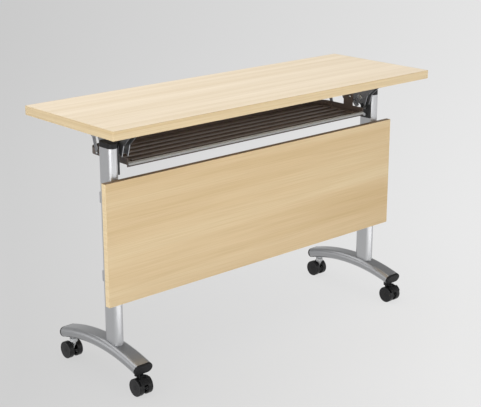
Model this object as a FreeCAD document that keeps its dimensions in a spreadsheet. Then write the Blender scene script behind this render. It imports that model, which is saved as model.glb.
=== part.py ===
"""Flip-top training table on twin-wheel casters.

Millimetres, +Z up. X runs along the table, -Y is the side of the modesty panel and
+Y the user's side. The origin is on the floor under the centre of the work top.
"""
import FreeCAD, Part
import math
import os
import Sketcher

# Driving dimensions: alias, value, what it is
SIZES = (
    ("top_length", 1200.0, "work top, along X"),
    ("top_depth", 400.0, "work top, along Y"),
    ("table_height", 750.0, "floor to the work surface"),
    ("top_thick", 25.0, "work top board"),
    ("band_thick", 2.0, "edge band of the work top"),
    ("band_corner", 4.0, "corner radius of the banded top"),
    ("band_round", 1.0, "rounding of the band's edges"),
    ("panel_inset", 46.0, "end of the work top to the panel's end"),
    ("panel_drop", 166.0, "work surface to the panel's upper edge"),
    ("panel_low", 242.0, "floor to the panel's lower edge"),
    ("panel_thick", 16.0, "modesty panel board"),
    ("panel_band", 1.0, "edge band of the panel"),
    ("panel_corner", 1.5, "corner radius of the banded panel"),
    ("panel_bolt_rise", 60.0, "panel edge to the nearest bolt"),
    ("saddle_thick", 3.0, "saddle between column and panel, at its thinnest"),
    ("saddle_wrap", 4.5, "how far a saddle reaches round the column"),
    ("saddle_wide", 20.0, "saddle, along X"),
    ("saddle_tall", 30.0, "saddle, along Z"),
    ("panel_bolt", 6.0, "panel bolt shank"),
    ("bolt_clear", 0.6, "clearance on a bolt hole's diameter"),
    ("bolt_head", 12.0, "panel bolt head"),
    ("bolt_head_tall", 4.5, "panel bolt head height"),
    ("bolt_key", 4.0, "hexagon socket of a panel bolt, across flats"),
    ("bolt_key_deep", 2.2, "depth of that socket"),
    ("insert_dia", 9.0, "threaded insert in the panel"),
    ("insert_length", 11.0, "depth of the insert"),
    ("column_inset", 95.0, "end of the work top to a column's centre"),
    ("column_y", -44.0, "column centre along Y"),
    ("column_wide", 30.0, "flat-oval tube, along X"),
    ("column_deep", 60.0, "flat-oval tube, along Y"),
    ("column_wall", 2.0, "column tube wall"),
    ("column_over", 6.0, "tube above the flip axis"),
    ("cap_tall", 15.0, "column cap above the tube"),
    ("cap_round", 3.0, "rounding of a cap's rim"),
    ("plug_depth", 10.0, "plug of a column cap inside its tube"),
    ("plug_gap", 0.2, "clearance round a plug or a welded tube"),
    ("foot_wide", 60.0, "flat-oval foot tube, along X"),
    ("foot_tall", 30.0, "flat-oval foot tube, across the arch"),
    ("foot_wall", 2.0, "foot tube wall"),
    ("foot_radius", 598.0, "radius of the arch, at the tube's centre"),
    ("foot_apex", 104.0, "floor to the tube's centre at the top of the arch"),
    ("foot_y", 6.0, "middle of the arch along Y"),
    ("foot_reach", 172.0, "middle of the arch to a tube end"),
    ("foot_cap", 8.0, "thickness of a foot end cap"),
    ("foot_cap_round", 4.0, "rounding of a foot end cap"),
    ("foot_plug", 5.0, "plug of a foot end cap inside its tube"),
    ("caster_reach", 153.0, "middle of the arch to a caster stem"),
    ("caster_seat", 61.7, "floor to the lower face of a caster socket"),
    ("seat_gap", 0.2, "running gap under a seat"),
    ("socket_dia", 16.0, "threaded socket in the foot"),
    ("socket_tall", 26.0, "threaded socket"),
    ("stem_dia", 10.0, "caster stem in its socket"),
    ("stem_rise", 24.0, "stem above the seat"),
    ("journal_dia", 8.0, "caster stem in the yoke"),
    ("journal_drop", 8.5, "journal below the seat"),
    ("run_fit", 0.1, "clearance on the diameter of a running fit"),
    ("wheel_dia", 50.0, "caster wheel"),
    ("wheel_wide", 16.0, "one wheel of a pair"),
    ("wheel_rim", 4.5, "thickness of the rim"),
    ("wheel_hub", 15.0, "hub of a wheel"),
    ("wheel_wall", 4.5, "disc on the outer side"),
    ("wheel_round", 2.0, "rounding of the tread"),
    ("wheel_cap", 2.5, "wall over the axle's end"),
    ("web_wide", 5.0, "yoke web between the wheels"),
    ("wheel_gap", 0.5, "yoke web to a wheel's hub"),
    ("wheel_apart", 13.0, "between the rims of a pair of wheels"),
    ("lug_wide", 12.0, "lug of the brake pedal, along the axle"),
    ("trail", 12.0, "stem to axle"),
    ("axle_dia", 6.0, "axle"),
    ("axle_end_gap", 0.5, "axle end to the bottom of its bore"),
    ("yoke_hub", 16.0, "yoke round the axle"),
    ("yoke_boss", 22.0, "yoke round the stem"),
    ("boss_tall", 10.0, "height of that boss"),
    ("pedal_gap", 3.5, "pedal to tread, brake off"),
    ("pedal_thick", 2.5, "brake pedal"),
    ("pedal_wide", 36.0, "brake pedal, along the axle"),
    ("pedal_start", 25.0, "pedal tip, degrees above the axle"),
    ("pedal_end", 64.0, "pedal root, degrees above the axle"),
    ("pedal_pin_angle", 78.0, "pedal pin, degrees above the axle"),
    ("pedal_pin_reach", 30.0, "axle to pedal pin"),
    ("pedal_pin", 3.0, "pedal pin"),
    ("pedal_ear", 7.4, "pedal ear round its pin"),
    ("ear_wide", 3.0, "thickness of a pedal ear"),
    ("ear_inset", 2.0, "edge of the yoke's boss in to its arm"),
    ("pivot_y", -46.0, "flip axis along Y"),
    ("pivot_drop", 65.0, "underside of the work top to the flip axis"),
    ("flip_angle", 90.0, "travel of the flip"),
    ("bracket_thick", 4.0, "head bracket plate"),
    ("bracket_wide", 40.0, "head bracket, along Y"),
    ("bracket_drop", 68.0, "flip axis to the bracket's lower edge"),
    ("bracket_dome", 22.0, "rounded top of the bracket"),
    ("bracket_ear", 8.0, "bracket round the catch pin"),
    ("bracket_boss", 28.0, "boss round the pivot bolt"),
    ("head_bolt", 6.0, "head bolt shank"),
    ("head_bolt_flats", 10.0, "head bolt, across flats"),
    ("head_bolt_tall", 4.0, "head bolt head height"),
    ("head_bolt_high", 35.0, "flip axis down to the upper head bolt"),
    ("head_bolt_low", 57.0, "flip axis down to the lower head bolt"),
    ("head_bolt_depth", 9.0, "head bolt beyond the bracket"),
    ("arm_gap", 6.0, "head bracket plate to swing arm"),
    ("arm_wide", 22.0, "swing arm channel, along X"),
    ("arm_sheet", 2.5, "sheet of the swing arm"),
    ("arm_front", 119.0, "flip axis to the arm's front tip"),
    ("arm_rear", 104.0, "flip axis to the arm's rear tip"),
    ("arm_tip", 8.0, "height of the front tip"),
    ("arm_tip_rear", 15.0, "height of the rear tip"),
    ("arm_knee_y", 80.0, "flip axis to the bend of the front edge"),
    ("arm_knee_drop", 10.0, "work top to that bend"),
    ("arm_heel_y", 31.0, "flip axis to the heel of the front edge"),
    ("arm_heel_z", 10.0, "flip axis up to that heel"),
    ("arm_rear_y", 70.0, "flip axis to the rear lower corner"),
    ("arm_hub", 19.0, "radius of the arm round the flip axis"),
    ("arm_stop", 31.0, "radius of the stop faces"),
    ("catch_circle", 27.0, "flip axis to catch pin"),
    ("catch_angle", -35.0, "catch pin, degrees from +Y"),
    ("catch_pin", 8.0, "catch pin"),
    ("stop_gap", 0.3, "catch pin to a stop face"),
    ("catch_end_gap", 0.5, "catch pin's end past the channel's inner cheek"),
    ("bush_dia", 14.0, "pivot bush"),
    ("bush_flange", 20.0, "flange of the pivot bush"),
    ("bush_flange_thick", 1.0, "thickness of that flange"),
    ("bush_proud", 0.3, "bush beyond the inner cheek"),
    ("pivot_shoulder", 10.0, "shoulder of the pivot bolt"),
    ("pivot_thread", 8.0, "thread of the pivot bolt"),
    ("pivot_flats", 13.0, "pivot bolt head, across flats"),
    ("pivot_head", 5.0, "pivot bolt head height"),
    ("pivot_flange", 1.5, "flange under that head"),
    ("lever_wide", 12.0, "latch lever, along X"),
    ("lever_y", 58.0, "flip axis to latch pin"),
    ("lever_z", 30.0, "flip axis up to latch pin"),
    ("lever_pin", 6.0, "latch pin"),
    ("lever_hub", 8.0, "radius of the lever round its pin"),
    ("hook_gap", 0.6, "latch hook to catch pin"),
    ("hook_thick", 6.5, "latch hook"),
    ("hook_start", -24.0, "root of the hook, degrees from +Y"),
    ("hook_end", -58.0, "tip of the hook, degrees from +Y"),
    ("paddle_y", 122.0, "flip axis to the end of the finger paddle"),
    ("paddle_z", 8.0, "flip axis up to the paddle's underside"),
    ("paddle_thick", 4.0, "finger paddle"),
    ("spring_wide", 8.0, "leaf spring of the latch"),
    ("spring_thick", 0.8, "leaf spring of the latch"),
    ("spring_root", 52.0, "flip axis to the spring's fixed end"),
    ("spring_bend", 74.0, "flip axis to the spring's bend"),
    ("spring_end", 97.0, "flip axis to the spring's free end"),
    ("spring_gap", 0.4, "spring to lever"),
    ("screw_dia", 4.0, "wood screw"),
    ("screw_head", 8.0, "wood screw head"),
    ("screw_head_tall", 2.4, "wood screw head height"),
    ("screw_length", 16.0, "wood screw below its head"),
    ("screw_slot", 1.0, "width of a screw's cross recess"),
    ("screw_slot_long", 4.4, "length of that recess"),
    ("screw_slot_deep", 1.4, "depth of that recess"),
    ("screw_clear", 0.3, "clearance on a screw hole's diameter"),
    ("arm_screw_front", -100.0, "flip axis to the first arm screw"),
    ("arm_screw_knee", -55.0, "flip axis to the second arm screw"),
    ("arm_screw_mid", 20.0, "flip axis to the third arm screw"),
    ("arm_screw_rear", 90.0, "flip axis to the last arm screw"),
    ("tray_front", -62.0, "tray's front edge along Y"),
    ("tray_rear", 125.0, "tray's rear edge along Y"),
    ("tray_drop", 48.0, "flip axis to the tray's underside"),
    ("tray_sheet", 2.0, "tray wall"),
    ("tray_lip", 18.0, "height of the tray's rim"),
    ("tray_corner", 40.0, "rear corner radius"),
    ("rib_wide", 9.0, "rib on the tray's floor"),
    ("rib_tall", 4.0, "height of a rib"),
    ("rib_step", 33.0, "spacing of the ribs"),
    ("rib_first", 15.0, "front edge to the first rib"),
    ("rib_inset", 26.0, "tray end to the ends of the ribs"),
    ("rib_count", 5.0, "ribs on the tray's floor"),
    ("tab_front", -18.0, "hanger tab of the tray, front edge along Y"),
    ("tab_rear", 20.0, "hanger tab of the tray, rear edge along Y"),
    ("tab_rise", 16.0, "flip axis to the top of a hanger tab"),
    ("tab_screw_low", -2.0, "flip axis to the tab's lower screw"),
    ("tab_screw_high", 9.0, "flip axis to the tab's upper screw"),
    ("tab_screw_step", 12.0, "tab edge to its nearest screw"),
    ("tray_screw_length", 4.0, "tray screw below its head"),
    ("trim_deep", 5.0, "front trim of the tray, along Y"),
    ("trim_tall", 7.0, "front trim of the tray, along Z"),
    ("trim_drop", 1.0, "trim below the tray's underside"),
    ("skirt_tall", 6.0, "skirt below the tray's front edge"),
    ("skirt_thick", 2.5, "thickness of that skirt"),
    ("trim_grip", 5.0, "trim over the tray's edge"),
    ("trim_gap", 0.2, "clearance of that edge in the trim"),
    ("brace_wide", 12.0, "brace bar, across"),
    ("brace_thick", 3.0, "brace bar, along X"),
    ("brace_low_y", 73.0, "foot of the brace along Y"),
    ("brace_low_rise", 9.0, "tray's underside to the brace's screw"),
    ("brace_high_y", 104.0, "top of the brace along Y"),
    ("brace_flange", 18.0, "flange of the brace under the top"),
)

doc = FreeCAD.newDocument("training_table")
sheet = doc.addObject("Spreadsheet::Sheet", "Sizes")
for row, (alias, number, meaning) in enumerate(SIZES, start=1):
    sheet.set("A%d" % row, alias)
    sheet.set("B%d" % row, str(number))
    sheet.set("C%d" % row, meaning)
    sheet.setAlias("B%d" % row, alias)
doc.recompute()


class Size:
    """A length or an angle: its value, and the spreadsheet expression that gives it."""

    def __init__(self, value, text):
        self.value = value
        self.text = text

    def __add__(self, other):
        other = as_size(other)
        return Size(self.value + other.value, "(%s + %s)" % (self.text, other.text))

    def __sub__(self, other):
        other = as_size(other)
        return Size(self.value - other.value, "(%s - %s)" % (self.text, other.text))

    def __mul__(self, other):
        other = as_size(other)
        return Size(self.value * other.value, "(%s * %s)" % (self.text, other.text))

    def __truediv__(self, other):
        other = as_size(other)
        return Size(self.value / other.value, "(%s / %s)" % (self.text, other.text))

    def __neg__(self):
        return Size(-self.value, "(0 - %s)" % self.text)


def as_size(number):
    """Give a plain number the form of a Size."""
    return number if isinstance(number, Size) else Size(float(number), "(%r)" % float(number))


def cos(angle):
    """Cosine of a Size in degrees."""
    return Size(math.cos(math.radians(angle.value)), "cos(%s)" % angle.text)


def sin(angle):
    """Sine of a Size in degrees."""
    return Size(math.sin(math.radians(angle.value)), "sin(%s)" % angle.text)


def arcsine(ratio):
    """Angle in degrees whose sine is a Size."""
    return Size(math.degrees(math.asin(ratio.value)), "(asin(%s) / 1 deg)" % ratio.text)


def root(square):
    """Square root of a Size."""
    return Size(math.sqrt(square.value), "sqrt(%s)" % square.text)


def polar(radius, angle, y=0.0, z=0.0):
    """Point at a radius and an angle from a centre."""
    return as_size(y) + radius * cos(angle), as_size(z) + radius * sin(angle)


class Sizes:
    """The spreadsheet's cells by name."""

    def __getattr__(self, alias):
        return Size(float(sheet.get(alias)), "Sizes.%s" % alias)


S = Sizes()
ZERO = as_size(0.0)
LEFT, RIGHT = -1.0, 1.0
SIDES = (("left", LEFT), ("right", RIGHT))
# Rows of the casters along Y: the front pair trails forward, the rear pair backward
ROWS = (("front", -1.0), ("rear", 1.0))
# Longer than any piece is deep: the depth of cuts that go right through
FAR = S.top_length
nodes = []


class Bow:
    """A round stretch between two corners of an outline."""

    def __init__(self, radius, left):
        self.radius = as_size(radius)
        self.left = left


def bind(thing, path, size):
    """Bind a property to the spreadsheet."""
    thing.setExpression(path, as_size(size).text)


def new_body(name, keep=True):
    """Start a sub-part."""
    body = doc.addObject("PartDesign::Body", name)
    body.Label = name
    if keep:
        nodes.append(body)
    return body


def place(thing, x=ZERO, y=ZERO, z=ZERO, axis=None, angle=0.0):
    """Set a sub-part's place, and a fixed turn about an axis."""
    if axis:
        turn = FreeCAD.Rotation(FreeCAD.Vector(*axis), angle)
        thing.Placement = FreeCAD.Placement(FreeCAD.Vector(), turn)
    for letter, size in zip("xyz", (x, y, z)):
        bind(thing, "Placement.Base.%s" % letter, size)


def new_sketch(body, plane, name, offset=None):
    """Start a sketch on one of the body's own planes, moved along its normal."""
    sketch = body.newObject("Sketcher::SketchObject", "%s_%s" % (body.Name, name))
    support = [face for face in body.Origin.OriginFeatures if face.Role == plane + "_Plane"]
    sketch.AttachmentSupport = [(support[0], "")]
    sketch.MapMode = "FlatFace"
    if offset is not None:
        bind(sketch, "AttachmentOffset.Base.z", offset)
    return sketch


def pin_point(sketch, item, end, point):
    """Fix a point of the sketch at two sizes from the origin."""
    for kind, size in zip(("DistanceX", "DistanceY"), point):
        size = as_size(size)
        rule = sketch.addConstraint(Sketcher.Constraint(kind, -1, 1, item, end, size.value))
        name = "%s_%d_%d" % (kind, item, end)
        sketch.renameConstraint(rule, name)
        sketch.setExpression("Constraints." + name, size.text)


def pin_radius(sketch, item, radius):
    """Fix the radius of an arc or a circle."""
    rule = sketch.addConstraint(Sketcher.Constraint("Radius", item, radius.value))
    name = "Radius_%d" % item
    sketch.renameConstraint(rule, name)
    sketch.setExpression("Constraints." + name, radius.text)


def arc_between(first, last, bow):
    """Arc from one corner to the next, bulging to the right of the way it goes or to the left."""
    chord = last - first
    middle = (first + last) * 0.5
    side = FreeCAD.Vector(-chord.y, chord.x, 0).normalize()
    rise = math.sqrt(max(bow.radius.value ** 2 - chord.Length ** 2 / 4, 0.0))
    centre = middle - side * rise if bow.left else middle + side * rise
    start, end = (last, first) if bow.left else (first, last)
    angles = [math.atan2(point.y - centre.y, point.x - centre.x) for point in (start, end)]
    circle = Part.Circle(centre, FreeCAD.Vector(0, 0, 1), bow.radius.value)
    return Part.ArcOfCircle(circle, *angles)


def draw(sketch, outline):
    """Draw a closed outline of corners, with a Bow before each corner that an arc ends at."""
    corners = [item for item in outline if not isinstance(item, Bow)]
    bows = {}
    for place_in_list, item in enumerate(outline):
        if isinstance(item, Bow):
            before = sum(1 for other in outline[:place_in_list] if not isinstance(other, Bow))
            bows[before - 1] = item
    points = [FreeCAD.Vector(as_size(x).value, as_size(y).value, 0) for x, y in corners]
    stretches = []
    for index, point in enumerate(points):
        following = points[(index + 1) % len(points)]
        bow = bows.get(index)
        if bow is None:
            item = sketch.addGeometry(Part.LineSegment(point, following))
            stretches.append((item, 1, 2))
        else:
            item = sketch.addGeometry(arc_between(point, following, bow))
            stretches.append((item, 2, 1) if bow.left else (item, 1, 2))
    for index, (item, first, last) in enumerate(stretches):
        next_item, next_first, next_last = stretches[(index + 1) % len(stretches)]
        sketch.addConstraint(Sketcher.Constraint("Coincident", item, last, next_item, next_first))
    for index, (item, first, last) in enumerate(stretches):
        pin_point(sketch, item, first, corners[index])
        if index in bows:
            pin_radius(sketch, item, bows[index].radius)


def draw_circle(sketch, x, y, diameter):
    """Draw a circle at a fixed place."""
    radius = as_size(diameter) / 2
    centre = FreeCAD.Vector(as_size(x).value, as_size(y).value, 0)
    item = sketch.addGeometry(Part.Circle(centre, FreeCAD.Vector(0, 0, 1), radius.value))
    pin_point(sketch, item, 3, (x, y))
    pin_radius(sketch, item, radius)


def rectangle(x0, y0, x1, y1):
    """Corners of a rectangle."""
    return [(x0, y0), (x1, y0), (x1, y1), (x0, y1)]


def rounded(half_x, half_y, radius):
    """Rectangle about the origin with round corners."""
    x, y = half_x - radius, half_y - radius
    bow = Bow(radius, left=False)
    return [(-x, -half_y), (x, -half_y), bow, (half_x, -y), (half_x, y), bow, (x, half_y),
            (-x, half_y), bow, (-half_x, y), (-half_x, -y), bow]


def flat_oval(wide, tall, along_x, inset=0.0, centre=(0.0, 0.0)):
    """Flat-oval section: two flats joined by half circles, each of two quarter arcs."""
    longer, shorter = (wide, tall) if along_x else (tall, wide)
    radius = shorter / 2 - inset
    straight = (longer - shorter) / 2
    bow = Bow(radius, left=False)
    points = [(-straight, -radius), (straight, -radius), bow, (straight + radius, ZERO), bow,
              (straight, radius), (-straight, radius), bow, (-straight - radius, ZERO), bow]
    turned = []
    for item in points:
        if isinstance(item, Bow):
            turned.append(item)
        else:
            x, y = item if along_x else (-item[1], item[0])
            turned.append((x + centre[0], y + centre[1]))
    return turned


def hexagon(flats, y=ZERO, z=ZERO):
    """Corners of a hexagon across its flats."""
    corner = flats / (2 * math.cos(math.pi / 6))
    return [polar(corner, as_size(60.0 * turn), y, z) for turn in range(6)]


def feature(body, kind, name, sketch):
    """Add a feature made from a sketch."""
    item = body.newObject("PartDesign::" + kind, "%s_%s" % (body.Name, name))
    item.Profile = sketch
    return item


def pad(body, sketch, name, length, both=False, back=False):
    """Add material along the sketch's normal, on both sides of it or backwards."""
    item = feature(body, "Pad", name, sketch)
    bind(item, "Length", length)
    item.Midplane = both
    item.Reversed = back
    return item


def cut(body, sketch, name, length, both=False, ahead=False):
    """Take material away against the sketch's normal, on both sides of it or along it."""
    doc.recompute()
    before = body.Tip.Shape.Volume
    item = feature(body, "Pocket", name, sketch)
    bind(item, "Length", length)
    item.Midplane = both
    item.Reversed = ahead
    doc.recompute()
    if item.Shape.isNull() or item.Shape.Volume > before - 1e-6:
        raise RuntimeError("%s cuts nothing" % item.Name)
    return item


def round_edges(body, name, radius, chosen):
    """Fillet the edges that a test picks."""
    doc.recompute()
    tip = body.Tip
    names = ["Edge%d" % (index + 1) for index, edge in enumerate(tip.Shape.Edges) if chosen(edge)]
    item = body.newObject("PartDesign::Fillet", "%s_%s" % (body.Name, name))
    item.Base = (tip, names)
    bind(item, "Radius", radius)
    return item


def revolve(body, plane, name, outline, angle=360.0, axis="H_Axis"):
    """Turn an outline about the sketch's axis, half to each side."""
    sketch = new_sketch(body, plane, name)
    for loop in outline:
        draw(sketch, loop)
    item = feature(body, "Revolution", name + "_turned", sketch)
    item.ReferenceAxis = (sketch, [axis])
    bind(item, "Angle", angle)
    item.Midplane = True
    return item


def group(name, master, places):
    """Sub-part of several like solids: one link to the master for each place."""
    links = []
    for index, spot in enumerate(places):
        link = doc.addObject("App::Link", "%s_%d" % (name, index + 1))
        link.LinkedObject = master
        place(link, **spot)
        links.append(link)
    compound = doc.addObject("Part::Compound", name)
    compound.Label = name
    compound.Links = links
    nodes.append(compound)
    return compound


def lies_at(edge, axis, value, slack=1e-4):
    """Whether an edge lies in the plane where one coordinate has a value."""
    box = edge.BoundBox
    low, high = getattr(box, axis + "Min"), getattr(box, axis + "Max")
    return abs(low - value) < slack and abs(high - value) < slack


# Places that several sub-parts share
UNDER_TOP = S.table_height - S.top_thick
PIVOT_Z = UNDER_TOP - S.pivot_drop
COLUMN_X = S.top_length / 2 - S.column_inset
COLUMN_TOP = PIVOT_Z + S.column_over
PANEL_LENGTH = S.top_length - S.panel_inset * 2
PANEL_HEIGHT = S.table_height - S.panel_drop - S.panel_low
TRAY_FLOOR = PIVOT_Z - S.tray_drop
TAB_TOP = PIVOT_Z + S.tab_rise
COLUMN_FRONT = S.column_y - S.column_deep / 2
COLUMN_REAR = S.column_y + S.column_deep / 2
PANEL_BACK = COLUMN_FRONT - S.saddle_thick
PANEL_MID_Z = S.panel_low + PANEL_HEIGHT / 2
PANEL_BOLT_Z = (S.panel_low + S.panel_bolt_rise,
                S.panel_low + PANEL_HEIGHT - S.panel_bolt_rise)
ARCH_CENTRE = S.foot_apex - S.foot_radius
INNER_FACE = COLUMN_X - S.column_wide / 2
BRACKET_FACE = INNER_FACE - S.bracket_thick
ARM_OUTER = BRACKET_FACE - S.arm_gap
ARM_MID = ARM_OUTER - S.arm_wide / 2
ARM_INNER = ARM_OUTER - S.arm_wide
ARM_SLOT = S.arm_wide - S.arm_sheet * 2
ARM_TOP = UNDER_TOP - PIVOT_Z
ARM_WEB = ARM_TOP - S.arm_sheet
CATCH = polar(S.catch_circle, S.catch_angle)
STOP_TURN = arcsine((S.catch_pin / 2 + S.stop_gap) / S.catch_circle)
BOSS_TALL = S.arm_gap - S.bush_flange_thick - S.seat_gap
ARM_SCREWS = (S.arm_screw_front, S.arm_screw_knee, S.arm_screw_mid, S.arm_screw_rear)
TAB_SCREWS = ((S.tab_front + S.tab_screw_step, PIVOT_Z + S.tab_screw_low),
              (S.tab_rear - S.tab_screw_step, PIVOT_Z + S.tab_screw_high))
BRACE_FOOT = (S.brace_low_y, TRAY_FLOOR + S.brace_low_rise)
BRACE_TOP_X = ARM_INNER + S.brace_thick - S.brace_flange / 2
SCREW_HOLE = S.screw_dia + S.screw_clear
YOKE_SEAT = S.caster_seat - S.seat_gap
AXLE_Z = S.wheel_dia / 2
WHEEL_INNER = S.wheel_apart / 2
HUB_REACH = WHEEL_INNER - S.web_wide / 2 - S.wheel_gap
PEDAL_PIN = polar(S.pedal_pin_reach, S.pedal_pin_angle, S.trail, AXLE_Z)


def board(name, half_x, half_y, thick, corner):
    """Flat board with round corners, standing on its own XY plane."""
    body = new_body(name)
    sketch = new_sketch(body, "XY", "outline")
    draw(sketch, rounded(half_x, half_y, corner))
    pad(body, sketch, "thickness", thick)
    return body


def edge_band(name, half_x, half_y, thick, corner, band, rounding):
    """Band round a board's edge, with its outer edges eased."""
    body = new_body(name)
    sketch = new_sketch(body, "XY", "outline")
    draw(sketch, rounded(half_x, half_y, corner))
    draw(sketch, rounded(half_x - band, half_y - band, corner - band))
    pad(body, sketch, "thickness", thick)
    reach = half_x.value - band.value / 2
    side = half_y.value - band.value / 2

    def outer(edge):
        box = edge.BoundBox
        flat = lies_at(edge, "Z", 0.0) or lies_at(edge, "Z", thick.value)
        mid = edge.valueAt((edge.FirstParameter + edge.LastParameter) / 2)
        rim = abs(mid.x) > reach or abs(mid.y) > side
        curved = box.XLength < corner.value * 1.01 and box.YLength < corner.value * 1.01
        spread = math.hypot(abs(mid.x) - half_x.value + corner.value,
                            abs(mid.y) - half_y.value + corner.value)
        return flat and (spread > corner.value - band.value / 2 if curved else rim)

    round_edges(body, "eased", rounding, outer)
    return body


def make_work_top():
    """Laminated board and its edge band."""
    half_x, half_y = S.top_length / 2, S.top_depth / 2
    core = board("table_top", half_x - S.band_thick, half_y - S.band_thick, S.top_thick,
                 S.band_corner - S.band_thick)
    holes = new_sketch(core, "XY", "screw_holes")
    for side in (LEFT, RIGHT):
        for y in ARM_SCREWS:
            draw_circle(holes, ARM_MID * side, S.pivot_y + y, SCREW_HOLE)
        draw_circle(holes, BRACE_TOP_X * side, S.brace_high_y, SCREW_HOLE)
    cut(core, holes, "screw_pilots", S.screw_length, ahead=True)
    place(core, z=UNDER_TOP)
    band = edge_band("top_edge_band", half_x, half_y, S.top_thick, S.band_corner, S.band_thick,
                     S.band_round)
    place(band, z=UNDER_TOP)


def make_panel():
    """Modesty panel with its edge band, saddles, bolts and inserts."""
    half_x, half_z = PANEL_LENGTH / 2, PANEL_HEIGHT / 2
    core = board("modesty_panel", half_x - S.panel_band, half_z - S.panel_band, S.panel_thick,
                 S.panel_corner - S.panel_band)
    holes = new_sketch(core, "XY", "insert_holes")
    for side in (LEFT, RIGHT):
        for z in PANEL_BOLT_Z:
            draw_circle(holes, COLUMN_X * side, z - PANEL_MID_Z, S.insert_dia + S.plug_gap)
    cut(core, holes, "inserts", S.insert_length, ahead=True)
    band = edge_band("panel_edge_band", half_x, half_z, S.panel_thick, S.panel_corner,
                     S.panel_band, S.panel_band / 2)
    for body in (core, band):
        place(body, y=PANEL_BACK, z=PANEL_MID_Z, axis=(1, 0, 0), angle=90)

    saddle = new_body("saddle_master", keep=False)
    sketch = new_sketch(saddle, "XY", "outline")
    draw(sketch, rectangle(-S.saddle_wide / 2, -S.saddle_thick, S.saddle_wide / 2, S.saddle_wrap))
    pad(saddle, sketch, "block", S.saddle_tall, both=True)
    hollow = new_sketch(saddle, "XY", "hollow")
    draw_circle(hollow, ZERO, S.column_wide / 2, S.column_wide + S.plug_gap)
    cut(saddle, hollow, "seat", S.saddle_tall * 2, both=True)
    bore = new_sketch(saddle, "XZ", "bore")
    draw_circle(bore, ZERO, ZERO, S.panel_bolt + S.bolt_clear)
    cut(saddle, bore, "bolt_hole", FAR, both=True)

    bolt = new_body("panel_bolt_master", keep=False)
    head_start = S.column_deep + S.saddle_thick * 2
    shank = S.panel_bolt / 2
    outline = [(-S.insert_length + S.seat_gap, ZERO), (head_start + S.bolt_head_tall, ZERO),
               (head_start + S.bolt_head_tall, S.bolt_head / 4),
               Bow(S.bolt_head_tall * 2, left=False), (head_start, S.bolt_head / 2),
               (head_start, shank), (-S.insert_length + S.seat_gap, shank)]
    revolve(bolt, "XY", "bolt", [outline])
    key = new_sketch(bolt, "YZ", "key", offset=head_start + S.bolt_head_tall)
    draw(key, hexagon(S.bolt_key))
    cut(bolt, key, "key_socket", S.bolt_key_deep)

    insert = new_body("panel_insert_master", keep=False)
    ring = new_sketch(insert, "XZ", "ring")
    draw_circle(ring, ZERO, ZERO, S.insert_dia)
    draw_circle(ring, ZERO, ZERO, S.panel_bolt + S.plug_gap)
    pad(insert, ring, "sleeve", S.insert_length)

    spots = [(COLUMN_X * side, z) for side in (LEFT, RIGHT) for z in PANEL_BOLT_Z]
    fronts = [dict(x=x, y=COLUMN_FRONT, z=z) for x, z in spots]
    rears = [dict(x=x, y=COLUMN_REAR, z=z, axis=(0, 0, 1), angle=180) for x, z in spots]
    group("panel_saddles", saddle, fronts + rears)
    group("panel_bolts", bolt, [dict(x=x, y=PANEL_BACK, z=z, axis=(0, 0, 1), angle=90)
                                for x, z in spots])
    group("panel_inserts", insert, [dict(x=x, y=PANEL_BACK, z=z) for x, z in spots])


def make_column(side_name, side):
    """Flat-oval upright and the cap on its top."""
    body = new_body(side_name + "_column")
    drop = S.column_y - S.foot_y
    inside = S.foot_radius - S.foot_tall / 2 + S.foot_wall
    base = ARCH_CENTRE + root(inside * inside - drop * drop) + S.foot_wall
    section = new_sketch(body, "XY", "section")
    draw(section, flat_oval(S.column_wide, S.column_deep, False))
    draw(section, flat_oval(S.column_wide, S.column_deep, False, inset=S.column_wall))
    pad(body, section, "tube", COLUMN_TOP - base)
    through = new_sketch(body, "XZ", "panel_bolt_holes")
    for z in PANEL_BOLT_Z:
        draw_circle(through, ZERO, z - base, S.panel_bolt + S.bolt_clear)
    cut(body, through, "panel_bolts", FAR, both=True)
    inner = new_sketch(body, "YZ", "head_bolt_holes")
    for fall in (S.head_bolt_high, S.head_bolt_low):
        draw_circle(inner, S.pivot_y - S.column_y, PIVOT_Z - fall - base,
                    S.head_bolt + S.bolt_clear)
    cut(body, inner, "head_bolts", S.column_wide, ahead=side < 0)
    place(body, x=COLUMN_X * side, y=S.column_y, z=base)

    cap = new_body(side_name + "_column_cap")
    rim = new_sketch(cap, "XY", "rim")
    draw(rim, flat_oval(S.column_wide, S.column_deep, False))
    pad(cap, rim, "top", S.cap_tall)
    round_edges(cap, "eased", S.cap_round, lambda edge: lies_at(edge, "Z", S.cap_tall.value))
    plug = new_sketch(cap, "XY", "plug")
    draw(plug, flat_oval(S.column_wide, S.column_deep, False, inset=S.column_wall + S.plug_gap))
    pad(cap, plug, "spigot", S.plug_depth, back=True)
    place(cap, x=COLUMN_X * side, y=S.column_y, z=COLUMN_TOP)


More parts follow.
